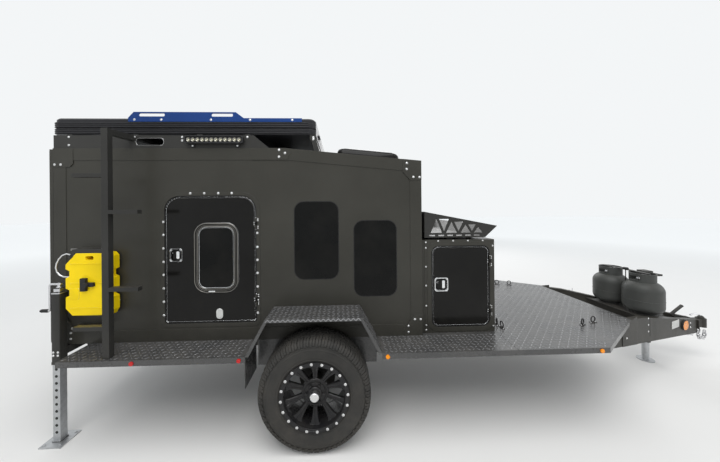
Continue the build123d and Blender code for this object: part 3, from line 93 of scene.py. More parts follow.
class Paint:
    """A procedural material. Its node method adds any node and returns one of its outputs."""

    def __init__(self, name):
        self.material = bpy.data.materials.new(name)
        self.material.use_nodes = True
        self.tree = self.material.node_tree
        self.tree.nodes.clear()

    def node(self, kind, settings=None, values=(), output=0):
        node = self.tree.nodes.new(kind)
        for key, value in (settings or {}).items():
            if key == "stops":
                ramp = node.color_ramp
                while len(ramp.elements) < len(value):
                    ramp.elements.new(0.5)
                for element, (place, level) in zip(ramp.elements, value):
                    element.position = place
                    element.color = (level, level, level, 1.0) if isinstance(level, float) else (*level, 1.0)
            else:
                setattr(node, key, value)
        for key, value in values.items() if isinstance(values, dict) else enumerate(values):
            if isinstance(value, Shade):
                self.tree.links.new(value.socket, node.inputs[key])
            else:
                node.inputs[key].default_value = value
        return Shade(self, node.outputs[output])

    def place(self, stretch=(1.0, 1.0, 1.0)):
        """The place on the piece in metres, in its own frame, stretched for long textures."""
        here = self.node("ShaderNodeTexCoord", output=3)
        if stretch == (1.0, 1.0, 1.0):
            return here
        return self.node("ShaderNodeVectorMath", {"operation": "MULTIPLY"}, (here, stretch))

    def along(self, axis):
        return self.node("ShaderNodeSeparateXYZ", values=(self.place(),), output="XYZ".index(axis))

    def facing(self, axis):
        """How far the surface faces along one axis of the piece."""
        normal = self.node("ShaderNodeTexCoord", output=1)
        return self.node("ShaderNodeSeparateXYZ", values=(normal,), output="XYZ".index(axis))

    def noise(self, scale, detail=3.0, rough=0.55, stretch=(1.0, 1.0, 1.0)):
        values = {"Vector": self.place(stretch), "Scale": scale, "Detail": detail, "Roughness": rough}
        return self.node("ShaderNodeTexNoise", values=values)

    def cells(self, scale, feature="F1", stretch=(1.0, 1.0, 1.0)):
        return self.node(
            "ShaderNodeTexVoronoi", {"feature": feature}, {"Vector": self.place(stretch), "Scale": scale}
        )

    def mix(self, mask, first, second):
        """A colour between two others, by a mask."""
        ends = [tone if isinstance(tone, Shade) else (*tone, 1.0) for tone in (first, second)]
        return self.node(
            "ShaderNodeMix", {"data_type": "RGBA"}, {0: mask, 6: ends[0], 7: ends[1]}, output=2
        )

    def edges(self, radius):
        """A mask that is 1 along sharp edges and 0 on open faces."""
        soft = self.node("ShaderNodeBevel", {"samples": 4}, {"Radius": radius})
        hard = self.node("ShaderNodeNewGeometry", output=1)
        match = self.node("ShaderNodeVectorMath", {"operation": "DOT_PRODUCT"}, (soft, hard), output=1)
        return (1.0 - match).between(0.02, 0.25)

    def dirt(self, amount, low=0.2, high=1.0):
        """Road dust: more of it low down and on faces that look up, broken up by noise."""
        height = 1.0 - self.along("Z").between(low, high)
        upward = self.facing("Z").between(0.3, 0.9)
        cover = height * 0.7 + upward * 0.5
        return (self.noise(7.0, 6.0, 0.7).between(0.35, 0.75) * cover * amount).clamp()

    def bump(self, height, distance, strength=1.0, under=None):
        values = {"Height": height, "Distance": distance, "Strength": strength}
        if under is not None:
            values["Normal"] = under
        return self.node("ShaderNodeBump", values=values)

    def soft_edges(self, radius):
        """A normal that rounds off sharp edges."""
        return self.node("ShaderNodeBevel", {"samples": 4}, {"Radius": radius})

    def surface(self, **sockets):
        """The finished shader, from plain numbers, colours and shades by socket name."""
        values = {}
        for key, value in sockets.items():
            name = key.replace("_", " ").title().replace("Ior", "IOR")
            if isinstance(value, tuple) and len(value) == 3:
                value = (*value, 1.0)
            values[name] = value
        shader = self.node("ShaderNodeBsdfPrincipled", values=values)
        out = self.tree.nodes.new("ShaderNodeOutputMaterial")
        self.tree.links.new(shader.socket, out.inputs[0])
        return self.material


def coated(
    name, tone, rough, grain=0.0, grain_scale=900.0, dust=0.25, coat=0.0, wear=0.12, metal=0.0, edge=0.002, shine=0.19
):
    """Painted or powder-coated metal: a slightly uneven tone, fine texture, dust, and rubbed edges."""
    paint = Paint(name)
    cloud = paint.noise(1.6, 4.0, 0.6)
    fine = paint.noise(grain_scale, 2.0, 0.5)
    dusty = paint.dirt(dust)
    rubbed = paint.edges(edge * 1.6) * paint.noise(60.0, 4.0).between(0.35, 0.65) * wear
    lighter = tuple(min(1.0, part * 1.25 + 0.004) for part in tone)
    base = paint.mix(cloud.between(0.3, 0.7), tone, lighter)
    base = paint.mix(dusty, base, (0.33, 0.29, 0.24))
    base = paint.mix(rubbed, base, tuple(0.35 + 0.4 * part for part in tone))
    smear = paint.noise(5.0, 5.0, 0.65, (1.0, 1.0, 0.35)).between(0.3, 0.75)
    roughness = (smear * 0.12 + (rough - 0.06) + dusty * 0.35).clamp()
    normal = paint.bump(fine, 0.0004, grain, paint.soft_edges(edge))
    return paint.surface(
        base_color=base, roughness=roughness, metallic=metal, specular_ior_level=shine, coat_weight=coat,
        coat_roughness=0.12,
        normal=normal,
    )


def bare_metal(name, tone, rough, brush=(1.0, 1.0, 1.0), stain=0.3, edge=0.001):
    """Plated or brushed metal with faint stains."""
    paint = Paint(name)
    marks = paint.noise(25.0, 6.0, 0.7).between(0.45, 0.8) * stain
    lines = paint.noise(300.0, 3.0, 0.6, brush)
    base = paint.mix(marks, tone, tuple(part * 0.35 for part in tone))
    roughness = (lines * 0.2 + (rough - 0.08) + marks * 0.3).clamp()
    normal = paint.bump(lines, 0.0003, 0.35, paint.soft_edges(edge))
    return paint.surface(base_color=base, roughness=roughness, metallic=1.0, normal=normal)


def moulded(name, tone, rough, grain=0.35, dust=0.15, scale=700.0, edge=0.0015):
    """Moulded plastic or rubber with a fine leathery grain."""
    paint = Paint(name)
    dusty = paint.dirt(dust)
    base = paint.mix(paint.noise(3.0, 4.0).between(0.3, 0.7), tone, tuple(part * 1.2 + 0.003 for part in tone))
    base = paint.mix(dusty, base, (0.33, 0.29, 0.24))
    grainy = paint.cells(scale)
    roughness = (paint.noise(40.0).between(0.2, 0.8) * 0.12 + rough + dusty * 0.25).clamp()
    normal = paint.bump(grainy, 0.0003, grain, paint.soft_edges(edge))
    return paint.surface(base_color=base, roughness=roughness, specular_ior_level=0.2, normal=normal)


def woven(name, tone, second, scale=900.0, sheen=0.25):
    """Woven cloth: two crossing threads, with a soft nap."""
    paint = Paint(name)
    place = paint.place()
    turned = [
        paint.node("ShaderNodeVectorMath", {"operation": "DOT_PRODUCT"}, (place, way), output=1) * scale
        for way in ((1.0, 0.3, 0.2), (0.2, 1.0, 1.0))
    ]
    thread = turned[0].sine() * turned[1].sine() * 0.5 + 0.5
    base = paint.mix(thread * 0.55 + paint.noise(6.0, 4.0) * 0.4, tone, second)
    return paint.surface(
        base_color=base, roughness=0.88, sheen_weight=sheen, normal=paint.bump(thread, 0.0006, 0.5)
    )


def pane(name, tone, rough=0.02):
    """Black privacy acrylic: deep gloss under a faint film of dust."""
    paint = Paint(name)
    film = paint.noise(4.0, 5.0, 0.6).between(0.45, 0.85)
    base = paint.mix(film * 0.02 + paint.dirt(0.05), tone, (0.33, 0.29, 0.24))
    return paint.surface(base_color=base, roughness=film * 0.05 + rough, specular_ior_level=0.13)


def lens(name, tone):
    """Coloured lamp lens with fine vertical flutes."""
    paint = Paint(name)
    flutes = (paint.along("X") * 1600.0).sine() * 0.5 + 0.5
    base = paint.mix(flutes * 0.35, tone, tuple(part * 0.55 for part in tone))
    return paint.surface(
        base_color=base, roughness=0.14, specular_ior_level=0.3, coat_weight=0.2, coat_roughness=0.03,
        normal=paint.bump(flutes, 0.0006, 0.4)
    )


def tread_paint(name):
    """Black tread plate, rubbed bright on the raised bars and scuffed between them."""
    paint = Paint(name)
    scuff = paint.noise(9.0, 7.0, 0.75).between(0.5, 0.72)
    scratch = paint.noise(60.0, 5.0, 0.7, (0.12, 1.0, 1.0)).between(0.62, 0.74)
    dusty = paint.dirt(0.16, 0.0, 1.2)
    base = paint.mix(scuff * 0.25, (0.050, 0.050, 0.050), (0.115, 0.115, 0.112))
    base = paint.mix(dusty, base, (0.30, 0.27, 0.23))
    base = paint.mix(scratch * 0.35, base, (0.22, 0.22, 0.22))
    roughness = (scuff * 0.22 + 0.26 + dusty * 0.3).clamp()
    return paint.surface(
        base_color=base,
        roughness=roughness,
        specular_ior_level=0.35,
        coat_weight=0.35,
        coat_roughness=0.16,
        normal=paint.bump(paint.noise(350.0, 3.0), 0.0004, 0.3, paint.soft_edges(0.002)),
    )


def ply_board(name):
    """Sealed birch board with long grain."""
    paint = Paint(name)
    grain = paint.noise(14.0, 8.0, 0.7, (1.0, 6.0, 6.0))
    rings = (grain * 60.0).sine() * 0.5 + 0.5
    base = paint.mix(rings * 0.5 + grain * 0.3, (0.52, 0.37, 0.21), (0.36, 0.23, 0.12))
    return paint.surface(
        base_color=base, roughness=0.42, coat_weight=0.3, coat_roughness=0.25, normal=paint.bump(rings, 0.0004, 0.25)
    )


finish = {
    "panel": coated("panel_charcoal", (0.031, 0.0298, 0.0245), 0.38, 0.25, dust=0.14, coat=0.04),
    "gloss": coated("door_gloss", (0.0050, 0.0047, 0.0042), 0.16, 0.02, dust=0.05, coat=0.04, wear=0.05, shine=0.14),
    "frame": coated("frame_powder", (0.026, 0.0255, 0.0235), 0.40, 0.5, dust=0.16),
    "tread": tread_paint("tread_plate"),
    "tread_bar": coated(
        "tread_bar", (0.21, 0.21, 0.215), 0.26, 0.1, dust=0.06, coat=0.2, wear=1.0, metal=0.5, edge=0.003
    ),
    "chrome": bare_metal("latch_chrome", (0.78, 0.79, 0.80), 0.14, stain=0.12),
    "tongue": coated("tongue_grey", (0.021, 0.020, 0.0165), 0.40, 0.4, dust=0.12),
    "anodised": bare_metal("anodised_frame", (0.24, 0.23, 0.21), 0.30),
    "reflector": bare_metal("lamp_reflector", (0.30, 0.29, 0.25), 0.22),
    "pale": coated("plate_pale", (0.52, 0.52, 0.50), 0.40, 0.05, dust=0.1),
    "led": coated("led_chip", (0.85, 0.80, 0.55), 0.30, 0.0, dust=0.0),
    "zinc": bare_metal("zinc_plate", (0.66, 0.66, 0.67), 0.34),
    "steel": bare_metal("bright_steel", (0.72, 0.72, 0.72), 0.26, (1.0, 1.0, 0.1)),
    "galvanised": bare_metal("galvanised_steel", (0.50, 0.51, 0.52), 0.45, stain=0.45),
    "tyre": moulded("tyre_rubber", (0.026, 0.0255, 0.024), 0.62, 0.4, dust=0.17, scale=400.0),
    "wheel": coated("wheel_satin", (0.008, 0.008, 0.009), 0.28, 0.08, dust=0.06, coat=0.12, wear=0.2),
    "pane": pane("privacy_pane", (0.0032, 0.0034, 0.0032)),
    "tent": coated("tent_black", (0.013, 0.013, 0.015), 0.38, 0.25, dust=0.12, wear=0.2),
    "blue": coated("rail_blue", (0.005, 0.036, 0.165), 0.26, 0.1, dust=0.08, coat=0.25, metal=0.5, wear=0.15),
    "yellow": moulded("container_yellow", (0.84, 0.60, 0.001), 0.42, 0.25, dust=0.03, scale=260.0),
    "plastic": moulded("black_plastic", (0.018, 0.018, 0.019), 0.48),
    "rubber": moulded("seal_rubber", (0.015, 0.015, 0.015), 0.7, 0.3),
    "bottle": coated("bottle_enamel", (0.047, 0.049, 0.046), 0.40, 0.2, dust=0.16, wear=0.3),
    "board": ply_board("ply_board"),
    "cloth": woven("mattress_cloth", (0.20, 0.21, 0.23), (0.30, 0.31, 0.33)),
    "canvas": woven("tent_canvas", (0.16, 0.17, 0.18), (0.24, 0.25, 0.26), 1400.0),
    "amber": lens("amber_lens", (1.0, 0.31, 0.0)),
    "red": lens("red_lens", (0.55, 0.012, 0.012)),
    "clear": lens("lamp_lens", (0.72, 0.75, 0.78)),
}
cad_finishes = {
    "panel": "cabin_floor cabin_front_wall cabin_roof cabin_side_right cabin_side_left edge_trim storage_box rear_hatch",
    "gloss": "cabin_door_right cabin_door_left box_door_right box_door_left",
    "frame": "chassis_rails chassis_crossmembers coupler rear_jack_tubes bottle_tray trailing_arms storage_basket"
    " roof_rack ladder",
    "tread": "deck_plates fenders",
    "tongue": "tongue_beams tongue_jack_tube",
    "zinc": "safety_chains",
    "galvanised": "tongue_jack_leg rear_jack_leg_right rear_jack_leg_left",
    "tyre": "tyre_right tyre_left",
    "wheel": "wheel_right wheel_left",
    "pane": "side_windows door_window_right door_window_left",
    "tent": "tent_base tent_lid",
    "blue": "tent_rails",
    "yellow": "fuel_container",
    "plastic": "light_bars roof_vent container_mount",
    "rubber": "air_springs",
    "bottle": "gas_bottles",
    "board": "galley_unit",
    "cloth": "mattresses",
    "amber": "amber_lamps",
    "red": "red_lamps",
}
for key, names in cad_finishes.items():
    for name in names.split():
        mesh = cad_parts[name].data
        mesh.materials.clear()
        mesh.materials.append(finish[key])


# Places on the trailer, measured ahead of the axle and in millimetres

MM = 0.001
tyre_low, tyre_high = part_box("tyre_right")
axle = (tyre_low.x + tyre_high.x) / 2


def at(ahead):
    """The place along X, in metres, of something measured ahead of the axle."""
    return axle + ahead * MM


# Mesh code

RIGHT = Vector((0.0, -1.0, 0.0))
LEFT = Vector((0.0, 1.0, 0.0))
UP = Vector((0.0, 0.0, 1.0))
DOWN = Vector((0.0, 0.0, -1.0))
AHEAD = Vector((1.0, 0.0, 0.0))
BACK = Vector((-1.0, 0.0, 0.0))


def aimed(place, way, turn=0.0):
    """A matrix that carries a shape drawn along +Z to a place, facing a way."""
    stand = Vector(way).to_track_quat("Z", "Y").to_matrix().to_4x4()
    return Matrix.Translation(Vector(place)) @ stand @ Matrix.Rotation(turn, 4, "Z")


class Form:
    """The mesh of one piece. Shapes are added in the frame's metres, each in one of its finishes."""

    def __init__(self, *finishes):
        self.finishes = finishes
        self.mesh = bmesh.new()

    def faces(self, corners, loops, slot=0, stand=None):
        """Adds corners and faces, carried by a matrix."""
        made = [self.mesh.verts.new(stand @ Vector(spot) if stand else spot) for spot in corners]
        out = []
        for loop in loops:
            face = self.mesh.faces.new([made[index] for index in loop])
            face.material_index = slot
            out.append(face)
        return out

    def lathe(self, profile, stand, sides=24, slot=0):
        """Turns a profile of (radius, height) round a matrix's own Z."""
        corners = []
        for radius, height in profile:
            count = 1 if radius == 0 else sides
            for step in range(count):
                angle = 2 * math.pi * step / sides
                corners.append(Vector((radius * math.cos(angle), radius * math.sin(angle), height)))
        loops = []
        start = 0
        for (near, _), (far, _) in zip(profile[:-1], profile[1:]):
            after = start + (1 if near == 0 else sides)
            for step in range(sides):
                turn = (step + 1) % sides
                if near == 0 and far == 0:
                    continue
                if near == 0:
                    loops.append((start, after + step, after + turn))
                elif far == 0:
                    loops.append((start + turn, start + step, after))
                else:
                    loops.append((start + turn, start + step, after + step, after + turn))
            start = after
        self.faces(corners, loops, slot, stand)

    def prism(self, outline, low, high, stand=None, slot=0, bevel=0.0, steps=2):
        """A plate: an outline of (x, y) from one height to another, with rounded edges."""
        count = len(outline)
        turning = sum(
            a[0] * b[1] - b[0] * a[1] for a, b in zip(outline, outline[1:] + outline[:1])
        )
        if turning < 0:
            outline = outline[::-1]
        corners = [(x, y, low) for x, y in outline] + [(x, y, high) for x, y in outline]
        loops = [tuple(range(count))[::-1], tuple(range(count, 2 * count))]
        loops += [(i, (i + 1) % count, (i + 1) % count + count, i + count) for i in range(count)]
        made = self.faces(corners, loops, slot, stand)
        if bevel:
            edges = [edge for face in (made[0], made[1]) for edge in face.edges]
            bmesh.ops.bevel(
                self.mesh, geom=edges, offset=bevel, segments=steps, affect="EDGES", profile=0.6, clamp_overlap=True
            )
        return made

    def block(self, x, y, z, slot=0, bevel=0.0, steps=2):
        """A block between two places on each axis, with all its edges rounded."""
        outline = [(x[0], y[0]), (x[1], y[0]), (x[1], y[1]), (x[0], y[1])]
        made = self.prism(outline, z[0], z[1], slot=slot)
        if bevel:
            edges = list({edge for face in made for edge in face.edges})
            bmesh.ops.bevel(
                self.mesh, geom=edges, offset=bevel, segments=steps, affect="EDGES", profile=0.6, clamp_overlap=True
            )

    def side(self, outline, near, far, slot=0, bevel=0.0, steps=2):
        """A plate on the right-hand side: an outline of (x, z), between two distances from the middle."""
        stand = Matrix(((1, 0, 0, 0), (0, 0, -1, 0), (0, 1, 0, 0), (0, 0, 0, 1)))
        return self.prism(outline, near, far, stand, slot, bevel, steps)

    def frame(self, outer, inner, near, far, slot=0, bevel=0.0):
        """A ring on the right-hand side, between two outlines of (x, z) with as many points."""
        count = len(outer)
        rings = [(outer, near), (outer, far), (inner, far), (inner, near)]
        corners = [(x, -level, z) for ring, level in rings for x, z in ring]
        loops = []
        for ring in range(4):
            after = (ring + 1) % 4
            for i in range(count):
                turn = (i + 1) % count
                loops.append((ring * count + i, ring * count + turn, after * count + turn, after * count + i))
        made = self.faces(corners, loops, slot)
        if bevel:
            front = [
                edge
                for edge in {edge for face in made for edge in face.edges}
                if all(abs(-spot.co.y - far) < 1e-6 for spot in edge.verts) and len(edge.link_faces) == 2
            ]
            bmesh.ops.bevel(self.mesh, geom=front, offset=bevel, segments=2, affect="EDGES", clamp_overlap=True)

    def tube(self, path, radius, sides=10, slot=0, closed=False, flat=1.0):
        """A round bar along a path of points; flat squeezes it along its second direction."""
        points = [Vector(spot) for spot in path]
        count = len(points)
        corners = []
        side = None
        for i, spot in enumerate(points):
            if closed:
                way = (points[(i + 1) % count] - points[i - 1]).normalized()
            else:
                way = (points[min(i + 1, count - 1)] - points[max(i - 1, 0)]).normalized()
            if side is None:
                side = way.orthogonal().normalized()
            side = (side - way * side.dot(way)).normalized()
            up = way.cross(side)
            for step in range(sides):
                angle = 2 * math.pi * step / sides
                corners.append(spot + side * (radius * math.cos(angle)) + up * (radius * flat * math.sin(angle)))
        loops = []
        for i in range(count if closed else count - 1):
            for step in range(sides):
                turn = (step + 1) % sides
                a, b = i * sides, ((i + 1) % count) * sides
                loops.append((a + step, a + turn, b + turn, b + step))
        if not closed:
            loops.append(tuple(range(sides))[::-1])
            loops.append(tuple(range((count - 1) * sides, count * sides)))
        self.faces(corners, loops, slot)

    def skin(self, rings, slot=0, stand=None, ends=True, closed=False):
        """A surface through rings of points, each ring with as many points."""
        count = len(rings[0])
        corners = [spot for ring in rings for spot in ring]
        loops = []
        for row in range(len(rings) if closed else len(rings) - 1):
            near, far = row * count, (row + 1) % len(rings) * count
            loops += [(near + i, near + (i + 1) % count, far + (i + 1) % count, far + i) for i in range(count)]
        if ends and not closed:
            loops.append(tuple(range(count))[::-1])
            loops.append(tuple(range(len(corners) - count, len(corners))))
        self.faces(corners, loops, slot, stand)

    def stamp(self, other, stands):
        """Copies another form's mesh to every matrix in a list. Both have the same finishes."""
        other.mesh.verts.index_update()
        corners = [vert.co.copy() for vert in other.mesh.verts]
        loops = [(tuple(vert.index for vert in face.verts), face.material_index) for face in other.mesh.faces]
        for stand in stands:
            made = [self.mesh.verts.new(stand @ spot) for spot in corners]
            for loop, slot in loops:
                self.mesh.faces.new([made[index] for index in loop]).material_index = slot

    def mirrored(self):
        """Adds the same shapes on the other side of the trailer."""
        twin = bmesh.ops.duplicate(
            self.mesh, geom=self.mesh.verts[:] + self.mesh.edges[:] + self.mesh.faces[:]
        )["geom"]
        for part in twin:
            if isinstance(part, bmesh.types.BMVert):
                part.co.y = -part.co.y
        bmesh.ops.reverse_faces(self.mesh, faces=[part for part in twin if isinstance(part, bmesh.types.BMFace)])
        return self

    def show(self, name, body, other_side=False, smooth=38.0):
        """Makes the piece, on the side where it was drawn or on the other one, and fixes it to its body."""
        mesh = bpy.data.meshes.new(name)
        work = self.mesh.copy()
        bmesh.ops.recalc_face_normals(work, faces=work.faces[:])
        if other_side:
            for vert in work.verts:
                vert.co.y = -vert.co.y
            bmesh.ops.reverse_faces(work, faces=work.faces[:])
        work.to_mesh(mesh)
        work.free()
        for key in self.finishes:
            mesh.materials.append(finish[key])
        mesh.shade_smooth()
        mesh.set_sharp_from_angle(angle=math.radians(smooth))
        piece = bpy.data.objects.new(name, mesh)
        bpy.context.scene.collection.objects.link(piece)
        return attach(piece, body)


def rounded(x, z, corner, steps=6):
    """The outline of a rectangle with rounded corners, in metres."""
    points = []
    corners = ((x[1], z[1], 0), (x[0], z[1], 90), (x[0], z[0], 180), (x[1], z[0], 270))
    for far_x, far_z, start in corners:
        middle_x = far_x + (-corner if far_x == x[1] else corner)
        middle_z = far_z + (-corner if far_z == z[1] else corner)
        for step in range(steps + 1):
            angle = math.radians(start + 90 * step / steps)
            points.append((middle_x + corner * math.cos(angle), middle_z + corner * math.sin(angle)))
    return points


def span(low, high):
    """Two places ahead of the axle, in metres."""
    return (at(low), at(high))


def grown(limits, by):
    """Two places, each moved outwards."""
    return (limits[0] - by, limits[1] + by)


def plate(x, z, by, corner, steps=6):
    """The outline of a rectangle with rounded corners, grown on every side."""
    return rounded(grown(x, by), grown(z, by), corner, steps)


def spread(first, last, count):
    """Places evenly spaced from the first to the last."""
    return [first + (last - first) * step / (count - 1) for step in range(count)]


def circle(radius, sides):
    """The points of a circle round (0, 0)."""
    return [(radius * math.cos(a), radius * math.sin(a)) for a in spread(0.0, 2 * math.pi, sides + 1)[:-1]]


def screw_head(finishes, slot, radius=0.0055, sides=14):
    """A low round bolt head with a hexagon socket, on a thin washer."""
    head = Form(*finishes)
    rise = radius * 0.62
    washer = radius * 1.45
    head.lathe(
        [
            (washer, 0.0),
            (washer, 0.0008),
            (radius * 1.02, 0.001),
            (radius, rise * 0.35),
            (radius * 0.86, rise * 0.85),
            (radius * 0.6, rise),
            (radius * 0.48, rise),
        ],
        Matrix.Identity(4),
        sides,
        slot,
    )
    head.lathe([(radius * 0.48, rise), (radius * 0.42, rise * 0.45), (0, rise * 0.45)], Matrix.Identity(4), 6, slot)
    return head


def screws(form, slot, radius, spots, way):
    """Small screws in one of a form's finishes, all facing one way."""
    form.stamp(screw_head(form.finishes, slot, radius), [aimed(spot, way) for spot in spots])


def nut_head(finishes, slot, radius=0.009, rise=0.008):
    """A hexagon nut on a washer, with the stud's end in it."""
    head = Form(*finishes)
    head.lathe([(radius * 1.35, 0.0), (radius * 1.35, 0.0014), (radius, 0.0015)], Matrix.Identity(4), 18, slot)
    head.lathe(
        [(radius, 0.0014), (radius, rise * 0.86), (radius * 0.86, rise), (radius * 0.56, rise)],
        Matrix.Identity(4),
        6,
        slot,
    )
    head.lathe(
        [(radius * 0.56, rise), (radius * 0.52, rise * 1.25), (radius * 0.4, rise * 1.32), (0, rise * 1.32)],
        Matrix.Identity(4),
        12,
        slot,
    )
    return head


# Bolts on the cabin's sides, the storage box and the fenders

SIDE = 0.700
BAND = 0.703
GUSSET = 0.706
BOX_SIDE = 0.670
bolt = screw_head(("steel",), 0, 0.0062)
small_bolt = screw_head(("steel",), 0, 0.0046)


def bolts(form, kind, face, spots):
    """Bolts on a right-hand face, from places ahead of the axle and above the ground in millimetres."""
    stands = [aimed((at(x), -face, z * MM), RIGHT, 0.9 * i) for i, (x, z) in enumerate(spots)]
    form.stamp(kind, stands)


door_ring_spots = [(-1153, z) for z in (1568, 1470, 1368, 1266, 1168, 1066, 965, 863)]
door_ring_spots += [(-451, z) for z in (1576, 1477, 1370, 1271, 1171, 1068, 965, 866)]
door_ring_spots += [(x, 1783) for x in (-951, -847, -742, -641)]
gusset_spots = [(705, 2008), (704, 1961), (756, 1899), (804, 1898), (758, 791), (803, 790), (707, 740), (707, 693)]
gusset_spots += [(-280, 2111), (-235, 2087), (-281, 2058), (-1938, 2003), (-1895, 2003)]
gusset_spots += [(-1862, 830), (-1830, 747), (-1831, 703)]
panel_bolts = Form("steel")
bolts(panel_bolts, bolt, BAND, door_ring_spots)
bolts(panel_bolts, bolt, GUSSET, gusset_spots)
bolts(panel_bolts, small_bolt, BOX_SIDE, [(860, z) for z in (1384, 1340, 1190, 1040, 881, 727, 690)])
bolts(panel_bolts, small_bolt, BOX_SIDE, [(x, 1393) for x in (960, 1080, 1200, 1320)])
bolts(panel_bolts, small_bolt, BOX_SIDE, [(1401, z) for z in (1350, 1190, 1030, 870, 710)])
bolts(panel_bolts, bolt, 0.672, [(-263, 706), (-217, 736), (-164, 735), (-232, 700), (262, 730), (300, 690)])
panel_bolts.mirrored().show("panel_bolts", "trailer")


# Raised bars of the tread plate, crossed in turn, on the deck, the boards and the fenders

DECK_TOP = 0.665
bar = Form("tread_bar")
bar_foot = [(-0.015, 0.0), (-0.0095, -0.0032), (0.0095, -0.0032), (0.015, 0.0), (0.0095, 0.0032), (-0.0095, 0.0032)]
bar_crest = [(x * 0.72, y * 0.4, 0.0016) for x, y in bar_foot]
bar.faces(
    [(x, y, 0.0) for x, y in bar_foot] + bar_crest,
    [(i, (i + 1) % 6, (i + 1) % 6 + 6, i + 6) for i in range(6)] + [tuple(range(6, 12))],
)


def plate_bars(form, origin, along, across, length, width, keep=None, pitch=0.034):
    """Crossed bars over a flat rectangle that starts at origin and runs along and across."""
    along, across = Vector(along).normalized(), Vector(across).normalized()
    base = Matrix((along, across, along.cross(across))).transposed().to_4x4()
    turns = [Matrix.Rotation(math.radians(angle), 4, "Z") for angle in (45.0, -45.0)]
    stands = []
    for i in range(int(length / pitch)):
        for j in range(int(width / pitch)):
            spot = Vector(origin) + along * ((i + 0.5) * pitch) + across * ((j + 0.5) * pitch)
            if keep is None or keep(spot):
                stands.append(Matrix.Translation(spot) @ base @ turns[(i + j) % 2])
    form.stamp(bar, stands)


deck_low, deck_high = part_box("deck_plates")
box_low, box_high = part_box("storage_box")
cabin_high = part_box("edge_trim")[1]
deck_corner = at(2072)


def on_deck(spot):
    """True on the open part of the front deck."""
    if spot.x > deck_corner and abs(spot.y) > 0.95 - (spot.x - deck_corner) * 0.43 / (
        deck_high.x - deck_corner
    ) - 0.02:
        return False
    if box_low.x - 0.02 < spot.x < box_high.x + 0.02 and abs(spot.y) < BOX_SIDE + 0.02:
        return False
    return spot.x > cabin_high.x + 0.02 or abs(spot.y) > BAND + 0.015


deck_bars = Form("tread_bar")
for start, end in ((at(480), deck_high.x - 0.01), (deck_low.x + 0.01, at(-480))):
    plate_bars(deck_bars, (start, -0.94, DECK_TOP), AHEAD, LEFT, end - start, 1.88, on_deck)
deck_bars.show("deck_bars", "trailer")
fender_bars = Form("tread_bar")
fender_top = 0.913
slope = Vector((135 * MM, 0.0, -248 * MM))
plate_bars(fender_bars, (at(-328), -0.945, fender_top), AHEAD, LEFT, 0.656, 0.24)
plate_bars(fender_bars, (at(332), -0.945, fender_top - 0.002), slope, LEFT, 0.27, 0.24)
plate_bars(fender_bars, (at(-465), -0.945, DECK_TOP), (slope.x, 0.0, -slope.z), LEFT, 0.27, 0.24)
plate_bars(fender_bars, (at(-328), -0.950, fender_top - 0.019), AHEAD, UP, 0.656, 0.017, pitch=0.017)
fender_bars.mirrored().show("fender_bars", "trailer")


# Wheels and tyres: heights in their profiles run outwards from the wheel's middle plane

hub_stand = aimed((axle, -0.845, 0.388), RIGHT)


def about_hub(count, radius, out, turn=0.0):
    """Places evenly round the right-hand wheel, facing outwards."""
    angles = [turn + 2 * math.pi * step / count for step in range(count)]
    shift = Matrix.Translation((radius, 0.0, out))
    return [hub_stand @ Matrix.Rotation(angle, 4, "Z") @ shift for angle in angles]


rim = Form("wheel", "steel", "frame", "rubber")
rim.lathe(
    [
        (0.2065, 0.108), (0.2015, 0.095), (0.1995, 0.060), (0.1985, -0.020), (0.2030, -0.070), (0.2105, -0.100),
        (0.2150, -0.107), (0.2160, -0.107), (0.2160, -0.098), (0.2090, -0.090), (0.2045, -0.020), (0.2055, 0.060),
        (0.2075, 0.095), (0.2160, 0.100), (0.2165, 0.110), (0.2330, 0.110), (0.2360, 0.1112), (0.2362, 0.1195),
        (0.2350, 0.1220), (0.2320, 0.1224), (0.2205, 0.1224), (0.2195, 0.1212), (0.2110, 0.1212), (0.2085, 0.1195),
        (0.2065, 0.108),
    ],
    hub_stand,
    80,
)
spoke = Form(*rim.finishes)
spoke_rings = []
for reach, half, top in (
    (0.078, 0.016, 0.060), (0.100, 0.0165, 0.062), (0.130, 0.018, 0.067), (0.160, 0.022, 0.075),
    (0.185, 0.028, 0.084),
    (0.2015, 0.038, 0.092),
):
    edge = half * 0.55
    spoke_rings.append(
        [
            (reach, -half, top - 0.022), (reach, -half, top - 0.006), (reach, -half + 0.004, top - 0.001),
            (reach, -edge * 0.5, top), (reach, -edge * 0.3, top - 0.004), (reach, edge * 0.3, top - 0.004),
            (reach, edge * 0.5, top), (reach, half - 0.004, top - 0.001), (reach, half, top - 0.006),
            (reach, half, top - 0.022),
        ]
    )
spoke.skin(spoke_rings)
rim.stamp(spoke, about_hub(10, 0.0, 0.0, 0.31))
rim.lathe(
    [
        (0.052, 0.040), (0.092, 0.040), (0.094, 0.043), (0.094, 0.060), (0.090, 0.064), (0.080, 0.064),
        (0.078, 0.061),
        (0.073, 0.061), (0.071, 0.068), (0.049, 0.070), (0.048, 0.082), (0.044, 0.086), (0.033, 0.086),
        (0.032, 0.090),
    ],
    hub_stand,
    64,
)
rim.lathe([(0.032, 0.084), (0.032, 0.113), (0.0305, 0.1195), (0.026, 0.1232), (0.0, 0.1240)], hub_stand, 48, 1)
rim.lathe(
    [
        (0.050, 0.044), (0.050, -0.100), (0.062, -0.104), (0.118, -0.104), (0.128, -0.108), (0.135, -0.114),
        (0.135, -0.150), (0.131, -0.153), (0.131, -0.164), (0.0, -0.164),
    ],
    hub_stand,
    64,
    2,
)
rim.stamp(screw_head(rim.finishes, 1, 0.0068), about_hub(20, 0.2262, 0.1222, 0.08))
rim.stamp(nut_head(rim.finishes, 0, 0.0085, 0.015), about_hub(6, 0.0600, 0.069))
valve_stand = about_hub(1, 0.176, 0.030, 1.25)[0]
